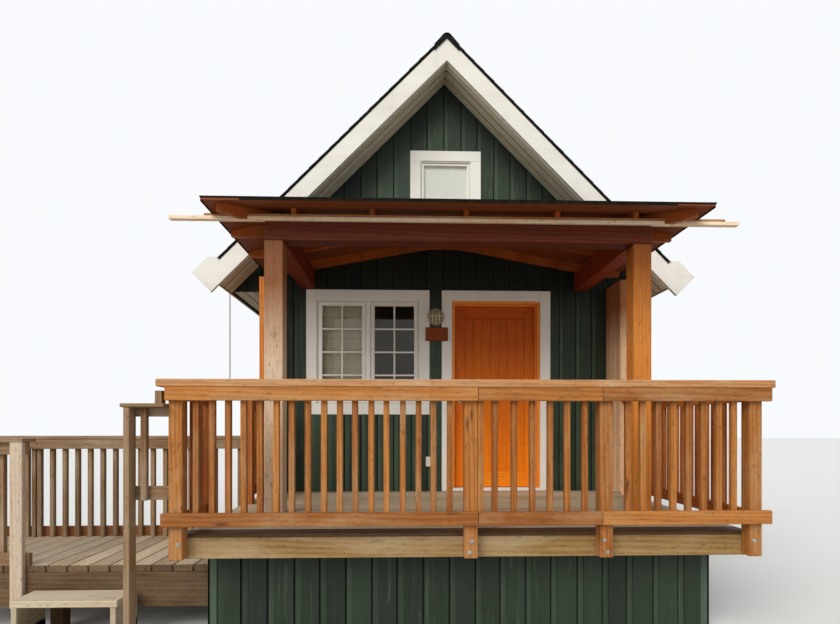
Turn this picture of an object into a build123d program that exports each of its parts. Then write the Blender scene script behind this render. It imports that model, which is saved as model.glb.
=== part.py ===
"""Holiday cottage: a small gabled timber cottage with a railed porch under a low hipped roof.

X runs along the front of the cottage, Y from the porch to the back and Z up from the ground.
The origin is on the ground, in the middle of the front foundation wall.
"""
import os
from math import sqrt

from build123d import *

# House, in millimetres
house_width = 3660
house_depth = 6100
wall_thickness = 130
wall_over_door = 78
floor_step = 10
floor_thickness = 220

# Main roof, whose slopes rise as much as they run
soffit_width = 471
eave_lip = 19
roof_depth = 265
gable_overhang = 400
barge_thickness = 38
barge_tail_overhang = 87
barge_tail_width = 270
barge_tail_top_length = 238
ridge_cap_thickness = 15
ridge_cap_reach = 130
gutter_width = 110
gutter_height = 90
gutter_wall = 4
gutter_drop = 30

# Front door
door_left = 123
door_width = 914
door_height = 2032
door_thickness = 45
door_hinge_gap = 5
door_latch_gap = 8
door_top_gap = 6
door_bottom_gap = 6
jamb_thickness = 35
stop_projection = 12
stop_depth = 24
stop_gap = 6
threshold_height = 20
stile_width = 120
top_rail_width = 138
bottom_rail_width = 180
panel_recess = 10
plank_groove_width = 6
plank_groove_depth = 4
plank_count = 7
hinge_radius = 9
hinge_height = 100
hinge_leaf_width = 40
hinge_leaf_thickness = 3
hinge_end_distance = 200
knuckle_gap = 0.3
handle_height = 1000
handle_backset = 65
handle_rose_radius = 26
handle_rose_thickness = 10
handle_neck_radius = 9
handle_reach = 48
handle_lever_length = 120
handle_lever_radius = 9

# Windows
trim_width = 113
trim_thickness = 20
trim_lap = 8
sash_stile = 55
mullion = 45
window_frame_depth = 70
muntin_width = 20
muntin_setback = 15
muntin_depth = 20
glass_thickness = 6
window_casing_gap = 135.5
front_window_width = 1141
front_window_height = 1160
upper_window_width = 570
upper_window_height = 720
upper_window_shift = 17
upper_window_clearance = 52
side_window_clearance = 30
side_window_width = 900
side_window_height = 1160

# Porch deck
deck_top = 785
deck_side_reach = 90
deck_reach = 2255
board_thickness = 28
board_width = 140
board_gap = 5
joist_thickness = 38
joist_depth = 140
joist_count = 9
skirt_setback = 285
skirt_left_setback = 90
skirt_right_setback = 130
skirt_thickness = 130

# Porch roof
porch_post_size = 150
porch_post_reach = 1527
left_post_inset = 260
right_post_inset = 231
beam_over_casing = 4
porch_beam_depth = 152
plank_side_reach = 490
plank_width = 50
plank_thickness = 30
plank_overlap = 25
shim_left_setback = 278
shim_right_setback = 115
shim_thickness = 20
side_plate_thickness = 56
porch_eave_overhang = 273
porch_eave_side_reach = 140
porch_slope = 0.185
rafter_drop = 40
rafter_depth = 90
rafter_thickness = 38
rafter_setback = 20
hip_setback = 90
front_rafter_places = (-1330, -700, 65, 810, 1460)
side_rafter_reaches = (600, 1150)
roof_sheet_thickness = 16

# Railing round the porch
rail_post_size = 89
second_post = 0
third_post = 911
corner_post_shift = 5
rail_post_foot = 10
rail_thickness = 38
rail_width = 89
rail_cap_width = 140
rail_cap_thickness = 50
rail_cap_overhang = 6
rail_cap_top = 1020
rail_bottom_height = 65
rail_end_overhang = 90
rail_cap_end_overhang = 108
right_joint_lap = 37
baluster_size = 38
left_baluster_insets = (129, 143)
left_baluster_count = 17
middle_baluster_steps = (156, 284, 409, 526, 643, 761)
right_baluster_inset = 146
right_baluster_count = 8
side_baluster_pitch = 110
left_rail_length = 340

# Side screens between the cottage and the railing
screen_length = 301
screen_board_thickness = 19
screen_board_width = 126
screen_board_gap = 6
screen_over_beam = 27
screen_clearance = 30
screen_post_size = 89
screen_batten_size = 38

# Landing and stair at the left of the porch
landing_step = 294
landing_length = 2400
landing_rear_reach = 833
landing_board_thickness = 50
landing_board_width = 140
landing_board_gap = 6
landing_beam_depth = 250
landing_beam_thickness = 38
landing_leg_size = 89
landing_leg_insets = (100, 1250)
landing_rail_top = 921
landing_cap_thickness = 28
landing_baluster_pitch = 117
newel_width = 89
newel_thickness = 38
newel_inset = 94
stair_gap = 540
stair_width = 710
stringer_thickness = 38
stringer_inset = 10
tread_depth = 240
tread_thickness = 45
tread_setback = 48
tread_count = 2
entry_post_gap = 237
entry_post_forward = 150
entry_rail_height = 861
entry_cap_thickness = 25
entry_upper_rail_width = 58
entry_lower_rail_height = 323
entry_upright_gap = 154

# Fittings
light_drop = 191
light_radius = 90
light_depth = 75
light_taper = 14
light_edge_radius = 22
light_block_clearance = 18
chain_radius = 9
chain_setback = 100
chain_ground_gap = 2

# House planes and floor
front = -wall_thickness / 2
back = front + house_depth
wall_inside = front + wall_thickness
half_house = house_width / 2
floor_top = deck_top + floor_step
floor_bottom = floor_top - floor_thickness

# Door and its opening
door_right = door_left + door_width
threshold_top = floor_top + threshold_height
door_bottom = threshold_top + door_bottom_gap
door_top = door_bottom + door_height
door_outside = wall_inside - door_thickness
clear_left = door_left - door_latch_gap
clear_right = door_right + door_hinge_gap
clear_top = door_top + door_top_gap
opening_left = clear_left - jamb_thickness
opening_right = clear_right + jamb_thickness
opening_top = clear_top + jamb_thickness
casing_reach = trim_width - trim_lap
casing_left = opening_left - casing_reach
casing_right = opening_right + casing_reach
casing_top = opening_top + casing_reach

# Roof planes
soffit_height = opening_top + wall_over_door
gable_half_width = half_house + soffit_width
roof_underside_peak = soffit_height + gable_half_width
roof_top_peak = roof_underside_peak + roof_depth
eave_half_width = gable_half_width + eave_lip
barge_tail_reach = eave_half_width + barge_tail_overhang

# Porch deck and the skirt walls under it
deck_half_width = half_house + deck_side_reach
deck_underside = deck_top - board_thickness
joist_bottom = deck_underside - joist_depth
skirt_reach = deck_reach - skirt_setback
skirt_left_x = skirt_left_setback - deck_half_width
skirt_right_x = deck_half_width - skirt_right_setback

# Porch posts, beams and roof
left_post_outer = left_post_inset - half_house
left_post_inner = left_post_outer + porch_post_size
right_post_outer = half_house - right_post_inset
right_post_inner = right_post_outer - porch_post_size
porch_beam_bottom = casing_top + beam_over_casing
porch_beam_top = porch_beam_bottom + porch_beam_depth
plank_top = porch_beam_top + plank_thickness
plank_half_length = half_house + plank_side_reach
shim_left = shim_left_setback - plank_half_length
shim_right = plank_half_length - shim_right_setback
porch_eave_reach = porch_post_reach + porch_eave_overhang
porch_eave_half_width = half_house + porch_eave_side_reach
porch_eave_underside = porch_beam_top - rafter_drop
rafter_top = porch_eave_underside + rafter_depth
porch_rise = porch_slope * porch_eave_reach
porch_roof_top = rafter_top + roof_sheet_thickness + porch_rise

# Railing, landing and stair
first_post = -deck_half_width - corner_post_shift
fourth_post = deck_half_width - corner_post_shift
rail_cap_underside = deck_top + rail_cap_top - rail_cap_thickness
landing_top = deck_top - landing_step
landing_underside = landing_top - landing_board_thickness
landing_right = skirt_left_x
landing_left = landing_right - landing_length
landing_front_reach = deck_reach - left_rail_length
stair_right = landing_right - stair_gap
stair_left = stair_right - stair_width

os.makedirs("parts", exist_ok=True)


def save(piece, name):
    """Label a finished piece and write it as one STEP file."""
    piece.part.label = name
    export_step(piece.part, f"parts/{name}.step")


def timber(x_from, x_to, y_from, y_to, z_from, z_to):
    """Add a straight length of timber between two opposite corners."""
    middle = ((x_from + x_to) / 2, (y_from + y_to) / 2, (z_from + z_to) / 2)
    with Locations(middle):
        Box(x_to - x_from, y_to - y_from, z_to - z_from)


def ahead(reach):
    """Y of a point that lies this far in front of the front wall."""
    return front - reach


# Foundation, skirt walls and floor
with BuildPart() as foundation_front:
    timber(-half_house, half_house, front, wall_inside, 0, floor_bottom)
save(foundation_front, "foundation_front")

with BuildPart() as skirt_left:
    timber(-half_house, -half_house + skirt_thickness, wall_inside, back, 0, floor_bottom)
    timber(skirt_left_x, skirt_left_x + skirt_thickness, ahead(skirt_reach), front, 0, joist_bottom)
save(skirt_left, "skirt_left")

with BuildPart() as skirt_right:
    timber(half_house - skirt_thickness, half_house, wall_inside, back, 0, floor_bottom)
    timber(skirt_right_x - skirt_thickness, skirt_right_x, ahead(skirt_reach), front, 0, joist_bottom)
save(skirt_right, "skirt_right")

with BuildPart() as skirt_front:
    timber(skirt_left_x + skirt_thickness, skirt_right_x - skirt_thickness, ahead(skirt_reach),
           ahead(skirt_reach - skirt_thickness), 0, joist_bottom)
save(skirt_front, "skirt_front")

foundation_inside = half_house - skirt_thickness
with BuildPart() as skirt_back:
    timber(-foundation_inside, foundation_inside, back - skirt_thickness, back, 0, floor_bottom)
save(skirt_back, "skirt_back")

with BuildPart() as floor:
    timber(-half_house, half_house, front, back, floor_bottom, floor_top)
save(floor, "floor")


# Walls
front_window_centre_x = casing_left - window_casing_gap - casing_reach - front_window_width / 2
front_window_z = opening_top - front_window_height / 2
upper_window_bottom = porch_roof_top + upper_window_clearance + casing_reach
upper_window_z = upper_window_bottom + upper_window_height / 2
side_window_centre_y = front + house_depth / 2
side_window_top = soffit_height - side_window_clearance - casing_reach
side_window_z = side_window_top - side_window_height / 2
front_window_face = Plane(origin=(front_window_centre_x, front, front_window_z),
                          x_dir=(1, 0, 0), z_dir=(0, -1, 0))
upper_window_face = Plane(origin=(upper_window_shift, front, upper_window_z),
                          x_dir=(1, 0, 0), z_dir=(0, -1, 0))
left_window_face = Plane(origin=(-half_house, side_window_centre_y, side_window_z),
                         x_dir=(0, -1, 0), z_dir=(-1, 0, 0))
right_window_face = Plane(origin=(half_house, side_window_centre_y, side_window_z),
                          x_dir=(0, 1, 0), z_dir=(1, 0, 0))


def window_hole(face, width, height):
    """Cut a window opening through the wall behind this face."""
    with BuildSketch(face) as hole:
        Rectangle(width, height)
    extrude(hole.sketch, amount=-wall_thickness, mode=Mode.SUBTRACT)


with BuildPart() as front_wall_left:
    timber(-half_house, opening_left, front, wall_inside, floor_top, soffit_height)
    window_hole(front_window_face, front_window_width, front_window_height)
save(front_wall_left, "front_wall_left")

with BuildPart() as front_wall_right:
    timber(opening_right, half_house, front, wall_inside, floor_top, soffit_height)
save(front_wall_right, "front_wall_right")


def gable_outline():
    """Draw a gable from the soffit level to its peak, running out over the eaves."""
    Polygon((-gable_half_width, soffit_height), (gable_half_width, soffit_height),
            (0, roof_underside_peak), align=None)


with BuildPart() as front_gable:
    with BuildSketch(Plane.XZ.offset(-wall_inside)):
        gable_outline()
    extrude(amount=wall_thickness)
    timber(opening_left, opening_right, front, wall_inside, opening_top, soffit_height)
    window_hole(upper_window_face, upper_window_width, upper_window_height)
save(front_gable, "front_gable")

with BuildPart() as back_wall:
    with BuildSketch(Plane.XZ.offset(-back)):
        gable_outline()
    extrude(amount=wall_thickness)
    timber(-half_house, half_house, back - wall_thickness, back, floor_top, soffit_height)
save(back_wall, "back_wall")


def side_wall_outline(side):
    """Draw a side wall seen from the front, its top cut to the slope of the roof."""
    outer = side * half_house
    inner = side * (half_house - wall_thickness)
    Polygon((outer, floor_top), (outer, roof_underside_peak - half_house),
            (inner, roof_underside_peak - half_house + wall_thickness), (inner, floor_top),
            align=None)


side_wall_length = house_depth - 2 * wall_thickness
with BuildPart() as left_wall:
    with BuildSketch(Plane.XZ.offset(-(back - wall_thickness))):
        side_wall_outline(-1)
    extrude(amount=side_wall_length)
    window_hole(left_window_face, side_window_width, side_window_height)
save(left_wall, "left_wall")

with BuildPart() as right_wall:
    with BuildSketch(Plane.XZ.offset(-(back - wall_thickness))):
        side_wall_outline(1)
    extrude(amount=side_wall_length)
    window_hole(right_window_face, side_window_width, side_window_height)
save(right_wall, "right_wall")


# Main roof with its boxed eaves, ridge cap, barge boards and gutters
roof_front = ahead(gable_overhang) + barge_thickness
roof_back = back + gable_overhang - barge_thickness


def roof_slope(side):
    """Draw one slope as a slab, and box its eave in between the two gables."""
    with BuildSketch(Plane.XZ.offset(-roof_back)) as slab:
        Polygon((0, roof_underside_peak), (0, roof_top_peak),
                (side * eave_half_width, roof_top_peak - eave_half_width),
                (side * eave_half_width, roof_underside_peak - eave_half_width), align=None)
    extrude(slab.sketch, amount=roof_back - roof_front)
    with BuildSketch(Plane.XZ.offset(-(back - wall_thickness))) as boxed_eave:
        Polygon((side * half_house, soffit_height), (side * gable_half_width, soffit_height),
                (side * half_house, roof_underside_peak - half_house), align=None)
    extrude(boxed_eave.sketch, amount=side_wall_length)


with BuildPart() as roof_left:
    roof_slope(-1)
save(roof_left, "roof_left")

with BuildPart() as roof_right:
    roof_slope(1)
save(roof_right, "roof_right")

cap_peak = roof_top_peak + ridge_cap_thickness * sqrt(2)
with BuildPart() as ridge_cap:
    with BuildSketch(Plane.XZ.offset(-roof_back)):
        with BuildLine():
            Polyline((0, roof_top_peak), (ridge_cap_reach, roof_top_peak - ridge_cap_reach),
                     (ridge_cap_reach, cap_peak - ridge_cap_reach), (0, cap_peak),
                     (-ridge_cap_reach, cap_peak - ridge_cap_reach),
                     (-ridge_cap_reach, roof_top_peak - ridge_cap_reach), close=True)
        make_face()
    extrude(amount=roof_back - roof_front)
save(ridge_cap, "ridge_cap")


def barge_board(side, y_back):
    """Draw one barge board with its deeper tail, and give it its thickness towards the front."""
    tail_foot = (side * barge_tail_reach, roof_underside_peak - barge_tail_reach)
    step = barge_tail_width / sqrt(2)
    tail_tip = (tail_foot[0] + side * step, tail_foot[1] + step)
    back_step = barge_tail_top_length / sqrt(2)
    tail_shoulder = (tail_tip[0] - side * back_step, tail_tip[1] + back_step)
    eave_corner = (side * eave_half_width, roof_top_peak - eave_half_width)
    with BuildSketch(Plane.XZ.offset(-y_back)) as outline:
        Polygon((0, roof_underside_peak), tail_foot, tail_tip, tail_shoulder, eave_corner,
                (0, roof_top_peak), align=None)
    extrude(outline.sketch, amount=barge_thickness)


with BuildPart() as barge_front_left:
    barge_board(-1, roof_front)
save(barge_front_left, "barge_front_left")

with BuildPart() as barge_front_right:
    barge_board(1, roof_front)
save(barge_front_right, "barge_front_right")

with BuildPart() as barge_back_left:
    barge_board(-1, roof_back + barge_thickness)
save(barge_back_left, "barge_back_left")

with BuildPart() as barge_back_right:
    barge_board(1, roof_back + barge_thickness)
save(barge_back_right, "barge_back_right")

gutter_top = roof_top_peak - eave_half_width - gutter_drop
gutter_bottom = gutter_top - gutter_height


def gutter(side):
    """Draw a square gutter against the eave, open at the top and closed at both ends."""
    middle = side * (eave_half_width + gutter_width / 2)
    length = roof_back - roof_front
    with Locations((middle, roof_front + length / 2, gutter_bottom + gutter_height / 2)):
        Box(gutter_width, length, gutter_height)
    with Locations((middle, roof_front + length / 2, gutter_bottom + gutter_height / 2 + gutter_wall)):
        Box(gutter_width - 2 * gutter_wall, length - 2 * gutter_wall, gutter_height,
            mode=Mode.SUBTRACT)


with BuildPart() as gutter_left:
    gutter(-1)
save(gutter_left, "gutter_left")

with BuildPart() as gutter_right:
    gutter(1)
save(gutter_right, "gutter_right")


# Windows, each a frame with its casing and one sheet of glass in each sash
def window_lights(width, height, sashes):
    """Centres and size of the glazed openings in a window of equal sashes side by side."""
    light_width = (width - (sashes - 1) * mullion) / sashes - 2 * sash_stile
    light_height = height - 2 * sash_stile
    pitch = light_width + 2 * sash_stile + mullion
    centres = [((number - (sashes - 1) / 2) * pitch, 0) for number in range(sashes)]
    return centres, light_width, light_height


def glazing_bars(face, width, height, sashes, columns, rows):
    """Divide each glazed opening of a window into panes."""
    centres, light_width, light_height = window_lights(width, height, sashes)
    with BuildSketch(face.offset(-muntin_setback)) as bars:
        for centre in centres:
            for column in range(1, columns):
                with Locations((centre[0] - light_width / 2 + column * light_width / columns, 0)):
                    Rectangle(muntin_width, light_height)
            for row in range(1, rows):
                with Locations((centre[0], -light_height / 2 + row * light_height / rows)):
                    Rectangle(light_width, muntin_width)
    extrude(bars.sketch, amount=-muntin_depth)


def window_frame(face, width, height, sashes):
    """Add the frame and the casing round it."""
    centres, light_width, light_height = window_lights(width, height, sashes)
    with BuildSketch(face) as sashes_outline:
        Rectangle(width, height)
        with Locations(*centres):
            Rectangle(light_width, light_height, mode=Mode.SUBTRACT)
    extrude(sashes_outline.sketch, amount=-window_frame_depth)
    with BuildSketch(face) as casing_outline:
        Rectangle(width + 2 * casing_reach, height + 2 * casing_reach)
        Rectangle(width - 2 * trim_lap, height - 2 * trim_lap, mode=Mode.SUBTRACT)
    extrude(casing_outline.sketch, amount=trim_thickness)


def window_glass(face, width, height, sashes):
    """Add the glass, bedded against the back of the glazing bars."""
    centres, light_width, light_height = window_lights(width, height, sashes)
    with BuildSketch(face.offset(-muntin_setback - muntin_depth)) as panes:
        with Locations(*centres):
            Rectangle(light_width, light_height)
    extrude(panes.sketch, amount=-glass_thickness)


with BuildPart() as front_window:
    window_frame(front_window_face, front_window_width, front_window_height, 2)
    glazing_bars(front_window_face, front_window_width, front_window_height, 2, 2, 4)
save(front_window, "front_window")

with BuildPart() as front_window_glass:
    window_glass(front_window_face, front_window_width, front_window_height, 2)
save(front_window_glass, "front_window_glass")

with BuildPart() as upper_window:
    window_frame(upper_window_face, upper_window_width, upper_window_height, 1)
save(upper_window, "upper_window")

with BuildPart() as upper_window_glass:
    window_glass(upper_window_face, upper_window_width, upper_window_height, 1)
save(upper_window_glass, "upper_window_glass")

with BuildPart() as left_window:
    window_frame(left_window_face, side_window_width, side_window_height, 2)
    glazing_bars(left_window_face, side_window_width, side_window_height, 2, 2, 4)
save(left_window, "left_window")

with BuildPart() as left_window_glass:
    window_glass(left_window_face, side_window_width, side_window_height, 2)
save(left_window_glass, "left_window_glass")

with BuildPart() as right_window:
    window_frame(right_window_face, side_window_width, side_window_height, 2)
    glazing_bars(right_window_face, side_window_width, side_window_height, 2, 2, 4)
save(right_window, "right_window")

with BuildPart() as right_window_glass:
    window_glass(right_window_face, side_window_width, side_window_height, 2)
save(right_window_glass, "right_window_glass")


# Front door, its frame, casing and hinges
panel_width = door_width - 2 * stile_width
panel_height = door_height - top_rail_width - bottom_rail_width
panel_centre_x = door_left + door_width / 2
panel_centre_z = door_bottom + bottom_rail_width + panel_height / 2
door_face = Plane(origin=(panel_centre_x, door_outside, panel_centre_z),
                  x_dir=(1, 0, 0), z_dir=(0, -1, 0))
with BuildPart() as door:
    timber(door_left, door_right, door_outside, wall_inside, door_bottom, door_top)
    with BuildSketch(door_face):
        Rectangle(panel_width, panel_height)
    extrude(amount=-panel_recess, mode=Mode.SUBTRACT)
    with BuildSketch(door_face.offset(-panel_recess)):
        with GridLocations(panel_width / plank_count, 0, plank_count - 1, 1):
            Rectangle(plank_groove_width, panel_height)
    extrude(amount=-plank_groove_depth, mode=Mode.SUBTRACT)
save(door, "door")

stop_back = door_outside - stop_gap
stop_front = stop_back - stop_depth
with BuildPart() as door_frame:
    timber(opening_left, clear_left, front, wall_inside, floor_top, opening_top)
    timber(clear_right, opening_right, front, wall_inside, floor_top, opening_top)
    timber(clear_left, clear_right, front, wall_inside, clear_top, opening_top)
    timber(clear_left, clear_left + stop_projection, stop_front, stop_back, threshold_top, clear_top)
    timber(clear_right - stop_projection, clear_right, stop_front, stop_back, threshold_top, clear_top)
    timber(clear_left, clear_right, stop_front, stop_back, clear_top - stop_projection, clear_top)
save(door_frame, "door_frame")

with BuildPart() as door_trim:
    timber(casing_left, opening_left + trim_lap, front - trim_thickness, front, deck_top, casing_top)
    timber(opening_right - trim_lap, casing_right, front - trim_thickness, front, deck_top, casing_top)
    timber(opening_left + trim_lap, opening_right - trim_lap, front - trim_thickness, front,
           opening_top - trim_lap, casing_top)
    timber(opening_left + trim_lap, opening_right - trim_lap, front - trim_thickness, front,
           deck_top, threshold_top)
    timber(clear_left, clear_right, front, wall_inside, floor_top, threshold_top)
save(door_trim, "door_trim")

hinge_x = door_right + door_hinge_gap / 2
hinge_y = wall_inside + hinge_radius
hinge_heights = (door_bottom + hinge_end_distance, door_top - hinge_end_distance)
knuckle = hinge_height / 3


def hinge_leaf(side, height):
    """Add one leaf plate, its edge held clear of the knuckles of the other leaf."""
    near = hinge_x + side * (hinge_radius + knuckle_gap)
    far = hinge_x + side * hinge_leaf_width
    timber(min(near, far), max(near, far), wall_inside, wall_inside + hinge_leaf_thickness,
           height - hinge_height / 2, height + hinge_height / 2)


def hinge_knuckle(side, z_from, z_to):
    """Add one knuckle round the hinge axis, with the strip that joins it to its leaf."""
    with Locations((hinge_x, hinge_y, (z_from + z_to) / 2)):
        Cylinder(hinge_radius, z_to - z_from)
    strip_end = hinge_x + side * (hinge_radius + knuckle_gap)
    timber(min(hinge_x, strip_end), max(hinge_x, strip_end), wall_inside,
           wall_inside + hinge_leaf_thickness, z_from, z_to)


with BuildPart() as frame_hinges:
    for height in hinge_heights:
        hinge_leaf(1, height)
        hinge_knuckle(1, height - hinge_height / 2, height - knuckle / 2)
        hinge_knuckle(1, height + knuckle / 2, height + hinge_height / 2)
save(frame_hinges, "frame_hinges")

handle_x = door_left + handle_backset
handle_z = deck_top + handle_height


def door_handle(outward, face_y):
    """Add the rose, neck and lever of the handle on one face of the door."""
    rose = Plane(origin=(handle_x, face_y, handle_z), x_dir=(1, 0, 0), z_dir=(0, outward, 0))
    with BuildSketch(rose) as rose_outline:
        Circle(handle_rose_radius)
    extrude(rose_outline.sketch, amount=handle_rose_thickness)
    with BuildSketch(rose) as neck_outline:
        Circle(handle_neck_radius)
    extrude(neck_outline.sketch, amount=handle_reach)
    lever_y = face_y + outward * handle_reach
    with BuildSketch(Plane(origin=(handle_x - handle_lever_radius, lever_y, handle_z),
                           x_dir=(0, 1, 0), z_dir=(1, 0, 0))) as lever_outline:
        Circle(handle_lever_radius)
    extrude(lever_outline.sketch, amount=handle_lever_length)


with BuildPart() as door_hardware:
    for height in hinge_heights:
        hinge_leaf(-1, height)
        hinge_knuckle(-1, height - knuckle / 2 + knuckle_gap, height + knuckle / 2 - knuckle_gap)
    door_handle(-1, door_outside)
    door_handle(1, wall_inside)
save(door_hardware, "door_hardware")


# Porch deck
deck_board_span = deck_reach - trim_thickness
deck_board_count = round((deck_board_span + board_gap) / (board_width + board_gap))
deck_board_pitch = (deck_board_span + board_gap) / deck_board_count
with BuildPart() as porch_deck:
    for number in range(deck_board_count):
        board_front = ahead(deck_reach) + number * deck_board_pitch
        timber(-deck_half_width, deck_half_width, board_front,
               board_front + deck_board_pitch - board_gap, deck_underside, deck_top)
save(porch_deck, "porch_deck")

joist_pitch = (2 * deck_half_width - joist_thickness) / (joist_count - 1)
joist_length = deck_reach - joist_thickness
with BuildPart() as deck_frame:
    with Locations((0, front - joist_length / 2, deck_underside - joist_depth / 2)):
        with GridLocations(joist_pitch, 0, joist_count, 1):
            Box(joist_thickness, joist_length, joist_depth)
    timber(-deck_half_width, deck_half_width, ahead(deck_reach), ahead(deck_reach - joist_thickness),
           joist_bottom, deck_underside)
save(deck_frame, "deck_frame")


# Porch posts and beams
post_back = ahead(porch_post_reach - porch_post_size)
with BuildPart() as porch_post_left:
    timber(left_post_outer, left_post_inner, ahead(porch_post_reach), post_back,
           deck_top, porch_beam_bottom)
save(porch_post_left, "porch_post_left")

with BuildPart() as porch_post_right:
    timber(right_post_inner, right_post_outer, ahead(porch_post_reach), post_back,
           deck_top, porch_beam_bottom)
save(porch_post_right, "porch_post_right")

with BuildPart() as porch_beam_front:
    timber(left_post_outer, right_post_outer, ahead(porch_post_reach), post_back,
           porch_beam_bottom, porch_beam_top)
save(porch_beam_front, "porch_beam_front")

plank_front = ahead(porch_post_reach + plank_overlap)
plank_back = plank_front + plank_width
side_plate_top = porch_beam_top + side_plate_thickness


def side_beam(x_from, x_to):
    """Add a side beam from the front beam to the wall, with the plate on top of it."""
    timber(x_from, x_to, post_back, front, porch_beam_bottom, porch_beam_top)
    timber(x_from, x_to, plank_back, front, porch_beam_top, side_plate_top)


with BuildPart() as porch_beam_left:
    side_beam(left_post_outer, left_post_inner)
save(porch_beam_left, "porch_beam_left")

with BuildPart() as porch_beam_right:
    side_beam(right_post_inner, right_post_outer)
save(porch_beam_right, "porch_beam_right")

shim_top = plank_top + shim_thickness
with BuildPart() as eave_plank:
    timber(-plank_half_length, plank_half_length, plank_front, plank_back, porch_beam_top, plank_top)
    timber(shim_left, shim_right, plank_front, plank_back, plank_top, shim_top)
save(eave_plank, "eave_plank")


# Porch roof, a low hip of three slopes that lean on the wall
hip_half_width = porch_eave_half_width - porch_eave_reach


def hip_volume(eave_height):
    """The space under three equal slopes that start from this height at the eaves."""
    base = porch_beam_bottom
    with BuildPart() as volume:
        with BuildSketch(Plane.YZ.offset(-porch_eave_half_width)):
            with BuildLine():
                Polyline((ahead(porch_eave_reach), base), (front, base),
                         (front, eave_height + porch_rise), (ahead(porch_eave_reach), eave_height),
                         close=True)
            make_face()
        extrude(amount=2 * porch_eave_half_width)
        with BuildSketch(Plane.XZ.offset(-front)):
            with BuildLine():
                Polyline((-porch_eave_half_width, base), (porch_eave_half_width, base),
                         (porch_eave_half_width, eave_height),
                         (0, eave_height + porch_slope * porch_eave_half_width),
                         (-porch_eave_half_width, eave_height), close=True)
            make_face()
        extrude(amount=porch_eave_reach, mode=Mode.INTERSECT)
    return volume.part


roof_space = hip_volume(rafter_top + roof_sheet_thickness)
rafter_space = hip_volume(rafter_top)
open_space = hip_volume(porch_eave_underside)

with BuildPart() as porch_roof:
    add(roof_space)
    add(rafter_space, mode=Mode.SUBTRACT)
save(porch_roof, "porch_roof")

rafter_end_x = porch_eave_half_width - rafter_setback
rafter_bottom = porch_beam_top
rafter_ceiling = rafter_top + porch_rise
half_rafter = rafter_thickness / 2
hip_run = porch_eave_reach - hip_setback
with BuildPart() as porch_rafters:
    for place in front_rafter_places:
        hip_reach = max(abs(place) - hip_half_width, 0)
        timber(place - half_rafter, place + half_rafter, plank_front, ahead(hip_reach),
               rafter_bottom, rafter_ceiling)
    for reach in side_rafter_reaches:
        hip_x = hip_half_width + reach
        for side in (-1, 1):
            timber(min(side * hip_x, side * rafter_end_x), max(side * hip_x, side * rafter_end_x),
                   ahead(reach) - half_rafter, ahead(reach) + half_rafter,
                   rafter_bottom, rafter_ceiling)
    timber(-rafter_end_x, rafter_end_x, ahead(rafter_thickness), front, rafter_bottom, rafter_ceiling)
    for side in (-1, 1):
        middle = (side * (hip_half_width + (half_rafter + hip_run) / 2),
                  ahead((half_rafter + hip_run) / 2), (rafter_bottom + rafter_ceiling) / 2)
        with Locations(Location(middle, (0, 0, -side * 45))):
            Box((hip_run - half_rafter) * sqrt(2), rafter_thickness, rafter_ceiling - rafter_bottom)
    add(rafter_space, mode=Mode.INTERSECT)
    add(open_space, mode=Mode.SUBTRACT)
    add(eave_plank.part, mode=Mode.SUBTRACT)
    add(porch_beam_left.part, mode=Mode.SUBTRACT)
    add(porch_beam_right.part, mode=Mode.SUBTRACT)
save(porch_rafters, "porch_rafters")


# Railing along the front of the porch, in three bays
rail_post_back = ahead(deck_reach)
rail_post_front = ahead(deck_reach + rail_post_size)
rail_front = rail_post_front - rail_thickness
cap_front = rail_front - rail_cap_overhang
cap_back = cap_front + rail_cap_width
rail_low = deck_top + rail_bottom_height
half_post = rail_post_size / 2


def front_bay(rail_from, rail_to, cap_from, cap_to, balusters):
    """Add the two rails, the cap and the balusters of one bay."""
    timber(rail_from, rail_to, rail_front, rail_post_front, rail_low, rail_low + rail_width)
    timber(rail_from, rail_to, rail_front, rail_post_front, rail_cap_underside - rail_width,
           rail_cap_underside)
    timber(cap_from, cap_to, cap_front, cap_back, rail_cap_underside, deck_top + rail_cap_top)
    for middle in balusters:
        timber(middle - baluster_size / 2, middle + baluster_size / 2, rail_post_front,
               rail_post_front + baluster_size, rail_low, rail_cap_underside)


def rail_post(middle):
    """Add one railing post, which stands against the rim that it is bolted to."""
    timber(middle - half_post, middle + half_post, rail_post_front, rail_post_back,
           joist_bottom + rail_post_foot, rail_cap_underside)


def evenly(first, last, count):
    """Places of this many balusters at even steps from the first to the last."""
    return [first + number * (last - first) / (count - 1) for number in range(count)]


left_joint = second_post + half_post
right_joint = third_post - right_joint_lap
left_balusters = evenly(first_post + left_baluster_insets[0], second_post - left_baluster_insets[1],
                        left_baluster_count)
middle_balusters = [left_joint + baluster_size / 2]
middle_balusters += [second_post + step for step in middle_baluster_steps]
right_balusters = evenly(third_post + right_baluster_inset, fourth_post - right_baluster_inset,
                         right_baluster_count)
with BuildPart() as front_rail_left:
    rail_post(first_post)
    rail_post(second_post)
    front_bay(first_post - rail_end_overhang, left_joint, first_post - rail_cap_end_overhang,
              left_joint, left_balusters)
save(front_rail_left, "front_rail_left")

with BuildPart() as front_rail_middle:
    front_bay(left_joint, right_joint, left_joint, right_joint, middle_balusters)
save(front_rail_middle, "front_rail_middle")

with BuildPart() as front_rail_right:
    rail_post(third_post)
    rail_post(fourth_post)
    front_bay(right_joint, fourth_post + rail_end_overhang, right_joint,
              fourth_post + rail_cap_end_overhang, right_balusters)
save(front_rail_right, "front_rail_right")

# Side screens and side rails, whose rails butt against the posts at both ends
screen_front = ahead(screen_length)
screen_bottom = deck_top + screen_clearance
screen_top = porch_beam_bottom + screen_over_beam
screen_board_count = int(screen_length // (screen_board_width + screen_board_gap))


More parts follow.
